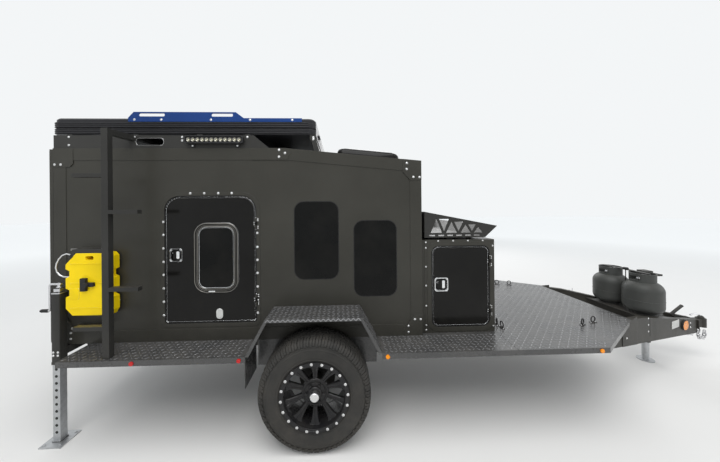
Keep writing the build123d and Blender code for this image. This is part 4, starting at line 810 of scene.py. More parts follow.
rim.lathe([(0.006, 0.0), (0.006, 0.016), (0.0035, 0.020), (0.0035, 0.034), (0.0, 0.035)], valve_stand, 12, 3)

tyre = Form("tyre")
wall_half = [
    (0.2175, 0.090), (0.2200, 0.1035), (0.2280, 0.1085), (0.2400, 0.1100), (0.2440, 0.1135), (0.2480, 0.1165),
    (0.2530, 0.1172), (0.2560, 0.1155), (0.2600, 0.1180), (0.2760, 0.1212), (0.2960, 0.1230), (0.3120, 0.1232),
    (0.3180, 0.1228), (0.3200, 0.1236), (0.3225, 0.1236), (0.3245, 0.1222), (0.3340, 0.1208), (0.3360, 0.1214),
    (0.3380, 0.1212), (0.3395, 0.1198), (0.3500, 0.1168), (0.3620, 0.1110), (0.3710, 0.1030), (0.3760, 0.0950),
    (0.3768, 0.0600),
]
tyre.lathe([(r, -out) for r, out in wall_half] + [(r, out) for r, out in reversed(wall_half)], hub_stand, 120)
pitch_count = 56
pitch_turn = 2 * math.pi / pitch_count


def crown(across):
    """The tread's radius at a distance from its middle."""
    return 0.3878 - (abs(across) / 0.1) ** 3 * 0.0045


def rolled(turns, across, radius):
    """A point on the tyre, from its place in pitches round it, its place across it and its radius."""
    angle = turns * pitch_turn
    return (radius * math.cos(angle), radius * math.sin(angle), across)


# Rows of tread blocks: edges across the tyre, bend of the blocks and turn of the row, in pitches
block = Form("tyre")
for low, high, bend, turn in (
    (-0.0165, 0.0165, 0.22, 0.0), (0.0205, 0.0530, -0.26, 0.35), (-0.0530, -0.0205, 0.26, 0.35)
):
    middle = (low + high) / 2
    for start, end in ((-0.44, -0.03), (0.03, 0.44)):
        spots = [(start, low), (end, low), (end + bend, middle), (end, high), (start, high), (start + bend, middle)]
        centre = (sum(spot[0] for spot in spots) / 6, middle)
        rings = []
        for inset, depth in ((1.0, None), (0.985, 0.0014), (0.93, 0.0)):
            ring = []
            for turns, across in spots:
                turns = centre[0] + (turns - centre[0]) * inset + turn
                across = centre[1] + (across - centre[1]) * inset
                ring.append(rolled(turns, across, 0.3762 if depth is None else crown(across) - depth))
            rings.append(ring)
        block.skin(rings)
for side in (-1, 1):
    for start, end, foot in ((-0.44, -0.02, 0.3500), (0.02, 0.44, 0.3440)):
        shoulder = [
            (0.0570, 0.3762), (0.0570, 0.3855), (0.0590, crown(0.058)), (0.0960, crown(0.096)), (0.1010, 0.3815),
            (0.1130, 0.3720), (0.1210, 0.3600), (0.1243, foot + 0.003), (0.1240, foot), (0.1190, foot - 0.001),
            (0.1000, 0.3650),
        ]
        rings = []
        for turns, shrink in ((start, 0.0012), (start + 0.035, 0.0), (end - 0.035, 0.0), (end, 0.0012)):
            lean = 0.12 * side
            ring = []
            for across, radius in shoulder:
                skew = lean * (across - 0.057) / 0.067
                ring.append(rolled(turns + skew + 0.2, side * (across - shrink), radius - shrink))
            rings.append(ring)
        block.skin(rings)
tyre.stamp(block, about_hub(pitch_count, 0.0, 0.0))
for side, other in (("right", False), ("left", True)):
    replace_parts(rim.show(f"rim_{side}", f"wheel_{side}", other, 30.0), f"wheel_{side}")
    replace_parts(tyre.show(f"tread_{side}", f"wheel_{side}", other, 34.0), f"tyre_{side}")


# Doors, latches, hinges and windows

def door_outline(x, z, top, low, steps=8):
    """A door's outline, with large top corners and small low ones."""
    upper = rounded(x, (z[0] - 1.0, z[1]), top, steps)[: 2 * steps + 2]
    lower = rounded(x, (z[0], z[1] + 1.0), low, steps)[2 * steps + 2 :]
    return upper + lower


def latch_dressing(form, x, z, face, rim_slot):
    """A paddle latch: rim, dark pocket, lock cylinder, lifting paddle and four screws."""
    form.frame(rounded(x, z, 0.016), plate(x, z, -0.006, 0.012), face + 0.0025, face + 0.0052, rim_slot, 0.0008)
    inner_x, inner_z = grown(x, -0.013), grown(z, -0.013)
    form.frame(plate(x, z, -0.006, 0.012), rounded(inner_x, inner_z, 0.008), face + 0.0022, face + 0.0036, 1, 0.0006)
    form.side(rounded(inner_x, inner_z, 0.008), face - 0.0165, face - 0.0145, 1)
    paddle_x = (x[1] - 0.046, x[1] - 0.024)
    form.side(rounded(paddle_x, grown(inner_z, -0.010), 0.006), face - 0.0125, face - 0.0010, 0, 0.0018)
    form.side(
        rounded(grown(paddle_x, 0.006), (inner_z[0] + 0.004, inner_z[0] + 0.016), 0.003), face - 0.0125,
        face - 0.0045, 1, 0.0010
    )
    lock = aimed(((x[0] + 0.028), -(face - 0.0125), (z[0] + z[1]) / 2 + 0.016), RIGHT)
    form.lathe(
        [(0.0105, 0.0), (0.0105, 0.008), (0.0095, 0.0095), (0.0060, 0.0095), (0.0058, 0.0088), (0.0, 0.0088)], lock,
        24, 0
    )
    form.block(
        (x[0] + 0.0272, x[0] + 0.0288), (-(face - 0.0031), -(face - 0.0042)),
        ((z[0] + z[1]) / 2 + 0.0115, (z[0] + z[1]) / 2 + 0.0205), 1
    )
    for spot_x in (x[0] + 0.0065, x[1] - 0.0065):
        for spot_z in (z[0] + 0.018, z[1] - 0.018):
            screws(form, 0, 0.0026, [(spot_x, -(face + 0.0034), spot_z)], RIGHT)


door_x, door_z = span(-1142, -462), (0.800, 1.759)
pane_x, pane_z = span(-893, -626), (1.059, 1.526)
door_dress = Form("chrome", "gloss", "rubber", "anodised", "steel", "pale")
latch_dressing(door_dress, span(-1108, -1014), (1.264, 1.366), SIDE, 1)
frame_x, frame_z = grown(pane_x, 0.030), grown(pane_z, 0.030)
door_dress.frame(plate(frame_x, frame_z, 0.003, 0.093), rounded(frame_x, frame_z, 0.090), 0.700, 0.7022, 2, 0.0006)
door_dress.frame(rounded(pane_x, pane_z, 0.060), plate(pane_x, pane_z, -0.007, 0.053), 0.6990, 0.7068, 2, 0.0015)
for inset, radius in ((0.0028, 0.0030), (0.0265, 0.0026), (0.016, 0.0012)):
    path = plate(frame_x, frame_z, -inset, 0.090 - inset, 10)
    door_dress.tube([(x, -0.7078, z) for x, z in path], radius, 8, 3, closed=True)
seal_path = door_outline(grown(door_x, 0.0016), grown(door_z, 0.0016), 0.1116, 0.0216)
door_dress.tube([(x, -0.6975, z) for x, z in seal_path], 0.0030, 8, 2, closed=True)
door_dress.frame(
    door_outline(grown(door_x, -0.004), grown(door_z, -0.004), 0.106, 0.016),
    door_outline(grown(door_x, -0.012), grown(door_z, -0.012), 0.098, 0.010), 0.6995, 0.7010, 1, 0.0006,
)
door_dress.side(rounded(span(-764, -714), (0.827, 0.906), 0.0238, 10), 0.7018, 0.7034, 5, 0.0008)
for height in (0.842, 0.891):
    screws(door_dress, 4, 0.0032, [(at(-739), -0.7032, height)], RIGHT)
door_dress.side(rounded(span(-817, -768), (1.0345, 1.0420), 0.003), 0.7080, 0.7110, 0, 0.0010)
door_hinge_heights = (0.970, 1.549)
for height in door_hinge_heights:
    for rise in (-0.008, 0.008):
        screws(door_dress, 4, 0.0030, [(at(-474.5), -0.7030, height + rise)], RIGHT)
pull = [(at(-1086 + 3 * i), -0.6585 + 0.030 * math.sin(math.pi * i / 12), 1.10 + 0.012 * i) for i in range(13)]
door_dress.tube(pull, 0.009, 12, 1)
door_dress.frame(
    plate(pane_x, pane_z, 0.034, 0.094), plate(pane_x, pane_z, -0.004, 0.056), 0.654, 0.6602, 1, 0.0012
)
box_door_x, box_door_z = span(908, 1370), (0.714, 1.350)
box_dress = Form("chrome", "gloss", "rubber", "anodised", "steel", "pale")
latch_dressing(box_dress, span(928, 1036), (0.994, 1.102), BOX_SIDE, 0)
seal_path = plate(box_door_x, box_door_z, 0.0016, 0.0536)
box_dress.tube([(x, -0.6680, z) for x, z in seal_path], 0.0030, 8, 2, closed=True)
box_dress.frame(
    plate(box_door_x, box_door_z, -0.004, 0.048), plate(box_door_x, box_door_z, -0.012, 0.040),
    0.6695, 0.6710, 1, 0.0006,
)
for height in (0.834, 1.230):
    for rise in (-0.008, 0.008):
        screws(box_dress, 4, 0.0030, [(at(1357.5), -0.6730, height + rise)], RIGHT)
for side, other in (("right", False), ("left", True)):
    door_dress.show(f"door_dressing_{side}", f"cabin_door_{side}", other)
    box_dress.show(f"box_door_dressing_{side}", f"box_door_{side}", other)

hinge_screws = Form("steel", "rubber", "zinc")
fixed_screw = screw_head(hinge_screws.finishes, 0, 0.0034)
for axis, face, heights in ((-459.5, SIDE, door_hinge_heights), (1372.5, BOX_SIDE, (0.834, 1.230))):
    for height in heights:
        for end in (-1, 1):
            spots = [(axis + 14, (height + end * 0.029) / MM - 7), (axis + 14, (height + end * 0.029) / MM + 7)]
            bolts(hinge_screws, fixed_screw, face + 0.003, spots)
            cap = aimed((at(axis), -(face + 0.0086), height + end * 0.043), (0, 0, end))
            hinge_screws.lathe([(0.0052, 0.0), (0.0052, 0.0012), (0.0036, 0.0030), (0.0, 0.0034)], cap, 16, 2)
for low, high, foot, head in ((-173, 172, 1.112, 1.716), (285, 623, 0.973, 1.566)):
    x, z = span(low, high), (foot, head)
    hinge_screws.frame(plate(x, z, -0.0005, 0.0745, 8), plate(x, z, -0.006, 0.069, 8), 0.6930, 0.7003, 1)
    hinge_screws.frame(plate(x, z, 0.022, 0.097, 8), plate(x, z, -0.003, 0.072, 8), 0.6545, 0.6605, 1, 0.0012)
hinge_screws.mirrored().show("side_hinge_screws_and_gaskets", "trailer")


# Light bars, roof rack bolts, and the tent's rail bolts, ribs and latches

lights = Form("plastic", "reflector", "clear", "led", "steel")
light_x, light_z = span(-978, -543), (2.155, 2.213)
lights.side(plate(light_x, light_z, -0.004, 0.010), 0.7055, 0.7240, 0, 0.002)
for height in spread(light_z[0] + 0.006, light_z[1] - 0.006, 7):
    lights.block((light_x[0] + 0.004, light_x[1] - 0.004), (-0.7065, -0.7000), (height - 0.0011, height + 0.0011), 0)
lights.frame(
    rounded(light_x, light_z, 0.014), rounded(grown(light_x, -0.009), grown(light_z, -0.007), 0.009), 0.7235, 0.7330,
    0, 0.0016
)
cup = Form(*lights.finishes)
cup.lathe(
    [(0.0045, 0.0), (0.0080, 0.0008), (0.0112, 0.0026), (0.0136, 0.0054), (0.0150, 0.0056)], Matrix.Identity(4), 20, 1
)
cup.lathe([(0.0046, 0.0004), (0.0030, 0.0020), (0.0, 0.0026)], Matrix.Identity(4), 12, 3)
middle_z = (light_z[0] + light_z[1]) / 2
lights.stamp(cup, [aimed((x, -0.7236, middle_z), RIGHT) for x in spread(light_x[0] + 0.030, light_x[1] - 0.030, 12)])
for x in (light_x[0] + 0.05, light_x[1] - 0.05):
    lights.block((x - 0.014, x + 0.014), (-0.7070, -0.6990), (light_z[0] - 0.022, light_z[0] + 0.03), 0, 0.0015)
    screws(lights, 4, 0.0045, [(x, -0.7070, light_z[0] - 0.012)], RIGHT)
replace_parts(lights.mirrored().show("led_light_bars", "trailer"), "light_bars")

rack_bolts = Form("steel", "frame")
rack_bolt = screw_head(rack_bolts.finishes, 0, 0.0056)
bolts(rack_bolts, rack_bolt, 0.699, [(x, 2211) for x in (-1841, -1361, -1010, -521)] + [(-1841, 2150), (-1010, 2184)])
bolts(rack_bolts, rack_bolt, 0.684, [(-20, 2212), (-20, 2198)])
rack_bolts.frame(
    rounded(grown(span(-1350, -1150), 0.005), (2.145, 2.205), 0.025),
    rounded(span(-1350, -1150), (2.150, 2.200), 0.020), 0.6985, 0.7005, 1, 0.0006
)
rack_bolts.mirrored().show("rack_bolts", "trailer")

rail_bolts = Form("steel", "tent", "rubber", "chrome")
bolts(
    rail_bolts, screw_head(rail_bolts.finishes, 0, 0.0060), 0.696,
    [(x, 2343) for x in (-1364, -1166, -795, -500, -179)]
)
shell_x = span(-1972, -1)
for y in (0.14, 0.42):
    outline = rounded(grown(shell_x, -0.16), (y - 0.055, y + 0.055), 0.02)
    rail_bolts.prism(outline, 2.3565, 2.3605, None, 1, 0.0035)
rail_bolts.mirrored()


def shell_rib(form, level, slot, proud=0.0055, radius=0.0042):
    """A thin rib round the tent's shell, open at the hinge."""
    path = rounded(grown(shell_x, proud), (-0.690 - proud, 0.690 + proud), 0.06)
    path = [spot for spot in path[7:] + path[:7] if spot[0] < shell_x[1] - 0.045]
    form.tube([(x, y, level) for x, y in path], radius, 8, slot)


for level in (2.2895, 2.3050, 2.3190):
    shell_rib(rail_bolts, level, 1)
for y in (-0.42, 0.0, 0.42):
    rail_bolts.block((shell_x[0] - 0.0085, shell_x[0] - 0.0045), (y - 0.017, y + 0.017), (2.287, 2.322), 3, 0.001)
    loop = [
        (shell_x[0] - 0.0085, y - 0.007, 2.300), (shell_x[0] - 0.0095, y - 0.007, 2.262),
        (shell_x[0] - 0.0095, y + 0.007, 2.262), (shell_x[0] - 0.0085, y + 0.007, 2.300)
    ]
    rail_bolts.tube(loop, 0.0018, 8, 3)
rail_bolts.show("tent_lid_dressing", "tent_lid")
base_catches = Form("tent", "chrome")
for level in (2.2430, 2.2560, 2.2700):
    shell_rib(base_catches, level, 0)
for y in (-0.42, 0.0, 0.42):
    base_catches.block((shell_x[0] - 0.0085, shell_x[0] - 0.0045), (y - 0.019, y + 0.019), (2.238, 2.270), 1, 0.001)
    base_catches.block((shell_x[0] - 0.0130, shell_x[0] - 0.0085), (y - 0.011, y + 0.011), (2.258, 2.266), 1, 0.001)
base_catches.show("tent_base_catches", "trailer")


# Rear corner jacks, with their cranks

rear_jack_x = at(-1854)
JACK_SIDE = 0.761
jack_tubes = Form("frame", "zinc", "plastic", "steel")
for half, top in ((0.029, 1.068), (0.031, 0.578)):
    plans = [
        rounded((rear_jack_x - wide, rear_jack_x + wide), (-JACK_SIDE - wide, -JACK_SIDE + wide), 0.006, 4)
        for wide in (half, 0.0255)
    ]
    rings = [(plans[0], 0.560), (plans[0], top), (plans[1], top), (plans[1], 0.560)]
    jack_tubes.skin([[(x, y, level) for x, y in plan] for plan, level in rings], 0, closed=True)
jack_tubes.prism(
    rounded((rear_jack_x - 0.0305, rear_jack_x + 0.0305), (-0.7915, -0.7305), 0.007, 4), 1.062, 1.073, None, 1, 0.002
)
jack_tubes.prism(
    rounded((rear_jack_x - 0.022, rear_jack_x + 0.022), (-0.783, -0.739), 0.008, 4), 1.072, 1.104, None, 1, 0.006, 3
)
crank_foot = aimed((rear_jack_x, -JACK_SIDE, 1.102), UP)
jack_tubes.lathe(
    [(0.014, 0.0), (0.014, 0.008), (0.010, 0.010), (0.010, 0.034), (0.006, 0.036), (0.0, 0.036)], crank_foot, 20, 1
)
bend = [
    (rear_jack_x - 0.052 - 0.014 * math.sin(a), 1.128 - 0.014 * (1 - math.cos(a)))
    for a in spread(0.0, math.pi / 2, 5)
]
arm = [(rear_jack_x + 0.016, -JACK_SIDE, 1.128)] + [(x, -JACK_SIDE, z) for x, z in bend]
arm += [
    (rear_jack_x - 0.066, -JACK_SIDE, 0.950), (rear_jack_x - 0.069, -JACK_SIDE, 0.940),
    (rear_jack_x - 0.078, -JACK_SIDE, 0.936)
]
jack_tubes.tube(arm, 0.0075, 12, 1)
grip = aimed((rear_jack_x - 0.075, -JACK_SIDE, 0.936), BACK)
ridges = [(0.0115 + (0.0012 if step % 2 else 0.0), 0.004 + 0.0045 * step) for step in range(11)]
jack_tubes.lathe(
    [(0.0, 0.0), (0.0095, 0.0), (0.0110, 0.002)] + ridges + [(0.0100, 0.0545), (0.0, 0.0550)], grip, 20, 2
)
for height in (0.625, 0.648):
    for ahead in (-0.016, 0.016):
        screws(jack_tubes, 3, 0.0055, [(rear_jack_x + ahead, -0.790, height)], RIGHT)
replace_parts(jack_tubes.mirrored().show("rear_jacks_and_cranks", "trailer"), "rear_jack_tubes")
leg_feet_and_painted_holes = Form("rubber", "galvanised")
# Thin dark rubber discs on both faces of each leg are painted shade that stands in for the leg's holes; no holes are
# cut.
for height in spread(0.075, 0.525, 10):
    for place, way in (((rear_jack_x, -0.7857, height), RIGHT), ((rear_jack_x, -0.7363, height), LEFT)):
        leg_feet_and_painted_holes.lathe([(0.0102, 0.0), (0.0100, 0.0004), (0.0, 0.0004)], aimed(place, way), 20, 0)
for ahead in (-0.055, 0.055):
    for y in (-0.816, -0.706):
        leg_feet_and_painted_holes.stamp(nut_head(leg_feet_and_painted_holes.finishes, 1, 0.008, 0.006), [aimed((rear_jack_x + ahead, y, 0.008), UP)])
leg_feet_and_painted_holes.prism(
    rounded((rear_jack_x - 0.032, rear_jack_x + 0.032), (-0.793, -0.729), 0.008, 3), 0.008, 0.014, None, 1, 0.002
)
for side, other in (("right", False), ("left", True)):
    leg_feet_and_painted_holes.show(f"rear_leg_dressing_{side}", f"rear_jack_leg_{side}", other)


# Fuel container: carrying bail, bracket edges, cap and strap buckle

carrier = Form("steel", "yellow", "plastic", "anodised", "rubber")
carrier.tube(
    [(at(x), -0.744, z * MM) for x, z in (
        (-1790, 1336), (-1816, 1344), (-1846, 1334), (-1872, 1306), (-1889, 1272), (-1894, 1243), (-1886, 1212),
        (-1866, 1188),
        (-1838, 1176), (-1796, 1174),
    )],
    0.0055, 10, 0,
)
for height in (1.380, 0.812):
    carrier.block(span(-1760, -1548), (-0.772, -0.700), (height, height + 0.004), 3, 0.001)
    carrier.block(span(-1760, -1548), (-0.773, -0.770), (height - 0.010, height + 0.004), 3, 0.001)
carrier.lathe(
    [(0.030, 0.0), (0.030, 0.010), (0.026, 0.011), (0.026, 0.024), (0.022, 0.027), (0.0, 0.028)],
    aimed((at(-1752), -0.745, 1.318), (-0.74, 0.0, 0.67)), 26, 2,
)
for ahead in (-1790, -1482):
    for height in (0.985, 1.300):
        screws(carrier, 0, 0.0050, [(at(ahead), -0.7005, height)], RIGHT)
for height in (0.955, 1.135, 1.275):
    carrier.side(rounded(span(-1760, -1510), (height - 0.004, height + 0.004), 0.0035), 0.7755, 0.7785, 1, 0.001)
carrier.side(rounded(span(-1768, -1700), (1.020, 1.100), 0.010), 0.7755, 0.7775, 1, 0.001)
knob_stand = aimed((at(-1634), -0.8060, 1.1265), RIGHT)
carrier.lathe([(0.020, -0.012), (0.020, 0.004), (0.017, 0.008), (0.0, 0.009)], knob_stand, 6, 2)
carrier.show("container_dressing", "trailer")


# Deck: joint between its plates, tie-down rings and the tongue's fittings

deck_bits = Form("rubber", "zinc", "steel", "pale", "amber", "plastic", "chrome")
for y in ((-0.949, -0.673), (0.673, 0.949)):
    deck_bits.block((0.3338, 0.3362), y, (0.6648, 0.6656), 0)
deck_bits.block((0.3338, 0.3362), (-0.668, 0.668), (0.6648, 0.6656), 0)
ring_path = [
    (0.022 * math.sin(a), 0.0, 0.004 + 0.024 * (1 - math.cos(a)))
    for a in spread(0.35, 2 * math.pi - 0.35, 17)
]
for x, y, turn in ((1.125, -0.598, 0.5), (1.257, -0.557, 0.2), (0.420, -0.552, 1.2), (0.426, -0.612, 1.5)):
    stand = Matrix.Translation((x, y, 0.6655)) @ Matrix.Rotation(turn, 4, "Z")
    deck_bits.tube([stand @ Vector(spot) for spot in ring_path], 0.0045, 8, 5)
    plan = [stand @ Vector((px, py, 0.0)) for px, py in rounded((-0.030, 0.030), (-0.014, 0.014), 0.008, 3)]
    deck_bits.prism([(spot.x, spot.y) for spot in plan], 0.6655, 0.6690, None, 5, 0.001)
    for shift in (-0.022, 0.022):
        spot = stand @ Vector((shift, 0.0, 0.0035))
        screws(deck_bits, 2, 0.0038, [spot], UP)
beam_way = Vector((0.3469, -0.9379, 0.0))


def on_beam(x, z, out=0.0):
    """A stand on the right-hand tongue beam's outer face."""
    return aimed(Vector((x, -(0.520 - (x - 1.639) * 0.36991), z)) + beam_way * out, beam_way)


deck_bits.prism(rounded((-0.080, 0.080), (-0.038, 0.038), 0.006, 3), 0.0005, 0.0025, on_beam(2.432, 0.478), 3, 0.0006)
oval = [(0.062 * math.cos(a), 0.046 * math.sin(a)) for a in spread(0.0, 2 * math.pi, 41)[:-1]]
deck_bits.prism([(x * 1.1, y * 1.12) for x, y in oval], 0.0005, 0.006, on_beam(2.618, 0.436), 5, 0.002)
deck_bits.prism(oval, 0.006, 0.014, on_beam(2.618, 0.436), 4, 0.005, 3)
for shift in (-0.068, 0.068):
    deck_bits.stamp(
        screw_head(deck_bits.finishes, 2, 0.0030),
        [on_beam(2.432, 0.478, 0.0022) @ Matrix.Translation((shift, 0.0, 0.0))]
    )
for x, levels in ((1.925, (0.625, 0.565, 0.505)), (1.560, (0.630, 0.520)), (2.760, (0.430, 0.385))):
    for level in levels:
        deck_bits.stamp(screw_head(deck_bits.finishes, 2, 0.0060), [on_beam(x, level, 0.004 if x < 1.75 else 0.0)])
deck_bits.prism(
    [(-0.0016, -0.105), (0.0016, -0.105), (0.0016, 0.100), (-0.0016, 0.100)], 0.0, 0.0008, on_beam(1.952, 0.560), 0
)
deck_bits.mirrored()
for y in (-0.045, 0.045):
    for z in (0.362, 0.414):
        deck_bits.stamp(nut_head(deck_bits.finishes, 1, 0.010, 0.010), [aimed((2.9272, y, z), AHEAD)])
deck_bits.tube(
    [(3.025, 0.0, 0.448), (3.010, 0.0, 0.470), (2.975, 0.0, 0.482), (2.935, 0.0, 0.480), (2.905, 0.0, 0.470)], 0.008,
    12, 1, flat=0.6
)
deck_bits.show("deck_and_tongue_fittings", "trailer")


# Gas bottles: rolled collar edges, valves and clamp knob

gas = Form("bottle", "chrome", "plastic", "steel", "zinc")
bottle_x = at(3260)
for side in (-1, 1):
    y = side * 0.158
    for level, radius in ((0.975, 0.0962), (0.5765, 0.0962)):
        ring = [(bottle_x + px, y + py, level) for px, py in circle(radius, 48)]
        gas.tube(ring, 0.0042, 8, 0, closed=True)
    wheel_stand = aimed((bottle_x, y, 0.949), UP)
    lobes = [(0.031 + 0.0045 * math.cos(7 * a), a) for a in spread(0.0, 2 * math.pi, 57)[:-1]]
    gas.prism([(rr * math.cos(a), rr * math.sin(a)) for rr, a in lobes], 0.0, 0.014, wheel_stand, 2, 0.003)
    gas.lathe([(0.008, 0.014), (0.008, 0.018), (0.0, 0.019)], wheel_stand, 12, 3)
    outlet = aimed((bottle_x - 0.015, y, 0.922), BACK)
    gas.lathe(
        [(0.013, 0.0), (0.013, 0.018), (0.017, 0.019), (0.017, 0.040), (0.012, 0.042), (0.0, 0.042)], outlet, 6, 4
    )
    relief = aimed((bottle_x + 0.015, y, 0.918), AHEAD)
    gas.lathe([(0.009, 0.0), (0.009, 0.022), (0.006, 0.024), (0.0, 0.024)], relief, 12, 4)
knob_plan = [
    ((0.021 + 0.004 * math.cos(5 * a)) * math.cos(a), (0.021 + 0.004 * math.cos(5 * a)) * math.sin(a))
    for a in spread(0.0, 2 * math.pi, 41)[:-1]
]
gas.prism(knob_plan, 0.983, 0.999, Matrix.Translation((bottle_x, 0.0, 0.0)), 2, 0.003)
gas.show("bottle_dressing", "trailer")


# Roof vent: flange, frame and smoked lid

vent = Form("plastic", "gloss", "steel")
vent_x = span(150, 775)
ROOF_TOP = 2.125
ROOF_FALL = 0.0939


def roof_level(x):
    """The roof's height, which falls towards the front."""
    return ROOF_TOP - max(0.0, x - at(-235)) * ROOF_FALL


rings = []
for inset, rise in (
    (-0.012, 0.0), (-0.012, 0.006), (0.0, 0.008), (0.0, 0.042), (0.010, 0.046), (0.012, 0.074), (0.004, 0.078),
    (0.002, 0.096),
    (0.010, 0.100), (0.012, 0.128), (0.022, 0.148), (0.044, 0.162), (0.086, 0.174), (0.140, 0.182), (0.190, 0.184),
):
    outline = rounded(grown(vent_x, -inset), (-0.235 + inset, 0.235 - inset), max(0.012, 0.07 - inset * 0.3), 6)
    rings.append([(x, y, roof_level(x) + rise) for x, y in outline])
vent.skin(rings[:7], 0, ends=False)
vent.skin(rings[6:], 1)
for y in spread(-0.105, 0.105, 6):
    low, high = vent_x[0] + 0.10, vent_x[1] - 0.10
    vent.tube(
        [
            (low, y, roof_level(low) + 0.172), (low + 0.05, y, roof_level(low + 0.05) + 0.181),
            (high - 0.05, y, roof_level(high - 0.05) + 0.181), (high, y, roof_level(high) + 0.172)
        ],
        0.004, 8, 1
    )
for x in spread(vent_x[0] + 0.04, vent_x[1] - 0.04, 5):
    for y in (-0.2425, 0.2425):
        screws(vent, 2, 0.0034, [(x, y, roof_level(x) + 0.006)], UP)
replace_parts(vent.show("roof_vent_lid", "trailer"), "roof_vent")


# Mattresses: swelled by cloth simulation, then quilted and piped

SWELL_FRAMES = 20
SWELL_PRESSURE = 4.0


def settled(piece):
    """The piece's mesh with its modifiers applied."""
    bpy.context.view_layer.update()
    graph = bpy.context.evaluated_depsgraph_get()
    mesh = bpy.data.meshes.new_from_object(piece.evaluated_get(graph))
    piece.modifiers.clear()
    piece.data = mesh
    return mesh


def drawn_in(spot, x, y, by):
    """Moves a point towards the middle, most where it is halfway along a side."""
    u = max(-1.0, min(1.0, (spot[0] - (x[0] + x[1]) / 2) / ((x[1] - x[0]) / 2)))
    v = max(-1.0, min(1.0, (spot[1] - (y[0] + y[1]) / 2) / ((y[1] - y[0]) / 2)))
    return (spot[0] - by * u * math.cos(v * math.pi / 2), spot[1] - by * v * math.cos(u * math.pi / 2), spot[2])


def mattress(name, x, y, z, voxel, cap, seams, depth, divide):
    """A padded mattress that fills the space between two places on each axis and is flat underneath."""
    tall = z[1] - z[0]
    start = Form("cloth")
    rings = []
    for inset, share in (
        (0.022, 0.0), (0.008, 0.14), (0.002, 0.36), (0.002, 0.60), (0.010, 0.80), (0.030, 0.90), (0.15, 0.94),
        (0.40, 0.96)
    ):
        outline = plate(x, y, -inset - 0.010, 0.08)
        rings.append([(px, py, z[0] + tall * share) for px, py in outline])
    start.skin(rings)
    bmesh.ops.recalc_face_normals(start.mesh, faces=start.mesh.faces[:])
    mesh = bpy.data.meshes.new(name)
    start.mesh.to_mesh(mesh)
    work = bpy.data.objects.new(name + "_work", mesh)
    bpy.context.scene.collection.objects.link(work)
    even = work.modifiers.new("even", "REMESH")
    even.mode = "VOXEL"
    even.voxel_size = voxel
    mesh = settled(work)
    for vert in mesh.vertices:
        vert.co = drawn_in(vert.co, x, y, 0.012)
    before = [vert.co.copy() for vert in mesh.vertices]
    swell = work.modifiers.new("swell", "CLOTH")
    swell.settings.quality = 4
    swell.settings.mass = 0.3
    swell.settings.use_pressure = True
    swell.settings.uniform_pressure_force = SWELL_PRESSURE
    swell.settings.effector_weights.gravity = 0.0
    swell.point_cache.frame_start = 1
    swell.point_cache.frame_end = SWELL_FRAMES
    for step in range(1, SWELL_FRAMES + 1):
        bpy.context.scene.frame_set(step)
    mesh = settled(work)
    bpy.context.scene.frame_set(1)
    for vert, place in zip(mesh.vertices, before):
        move = vert.co - place
        if move.length > cap:
            vert.co = place + move * (cap / move.length)
        vert.co.z = max(z[0], min(z[1], vert.co.z))
    if divide:
        finer = work.modifiers.new("finer", "SUBSURF")
        finer.levels = finer.render_levels = 1
        mesh = settled(work)
    pad = Form("cloth", "canvas")
    pad.mesh.from_mesh(mesh)
    bpy.data.objects.remove(work)
    pad.mesh.normal_update()
    top = z[0] + tall * 0.55
    for vert in pad.mesh.verts:
        if vert.co.z > top:
            gap = min(abs(vert.co.x - seam) for seam in seams)
            vert.co.z -= depth * math.exp(-((gap / 0.016) ** 2))
    surface = BVHTree.FromBMesh(pad.mesh)
    for share in (0.16, 0.84):
        path = []
        outline = plate(x, y, -0.004, 0.08)
        for near, far in zip(outline, outline[1:] + outline[:1]):
            pieces = max(1, round(math.dist(near, far) / 0.06))
            path += [tuple(a + (b - a) * step / pieces for a, b in zip(near, far)) for step in range(pieces)]
        path = [drawn_in((px, py, z[0] + tall * share), x, y, 0.012) for px, py in path]
        pad.tube(
            [surface.find_nearest(Vector(spot))[0] for spot in path], min(0.0055, tall * 0.12), 8, 1, closed=True
        )
    piece = pad.show(name, "trailer", smooth=60.0)
    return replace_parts(piece, "mattresses")


mattress(
    "cabin_mattress", (-2.433, -0.309), (-0.652, 0.652), (0.7015, 0.829), 0.028, 0.012, spread(-2.25, -0.49, 11),
    0.009, True
)
mattress(
    "tent_mattress", (-2.992, -1.141), (-0.640, 0.640), (2.2425, 2.2715), 0.014, 0.004, (-2.375, -1.758), 0.012, False
)


# Tent canvas, folded between the tent's base and its lid

canvas = Form("canvas")
track = [(x, -0.674, 0.0, 1.0) for x in spread(-1.110, -2.990, 30)]
track += [(-3.036, -0.674, 1.0, 1.0)]
track += [(-3.036, y, 1.0, 0.0) for y in spread(-0.630, 0.630, 21)]
track += [(-3.036, 0.674, 1.0, -1.0)]
track += [(x, 0.674, 0.0, -1.0) for x in spread(-2.990, -1.110, 30)]
folds = 22
grid = []
for row in range(folds + 1):
    rise = 0.5 - math.sin(math.asin(1 - 2 * row / folds) / 3)
    level = 2.2805 + 0.0605 * rise
    for step, (x, y, in_x, in_y) in enumerate(track):
        reach = 0.086 * (-1.110 - x) / 1.926
        fold = reach * (0.94 + 0.06 * math.sin(step * 1.7 + row * 0.9)) if row % 2 else 0.0
        grid.append((x + in_x * fold, y + in_y * fold, level))
wide = len(track)
canvas.faces(
    grid,
    [
        (row * wide + i, row * wide + i + 1, (row + 1) * wide + i + 1, (row + 1) * wide + i)
        for row in range(folds) for i in range(wide - 1)
    ],
)
area = sum(face.calc_area() for face in canvas.mesh.faces)
mesh = bpy.data.meshes.new("tent_canvas")
canvas.mesh.to_mesh(mesh)
mesh.materials.append(finish["canvas"])
tent_canvas = bpy.data.objects.new("tent_canvas", mesh)
bpy.context.scene.collection.objects.link(tent_canvas)
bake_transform(tent_canvas)


# Galley: worktop, drawer fronts with pulls, a two-ring hob and a sink

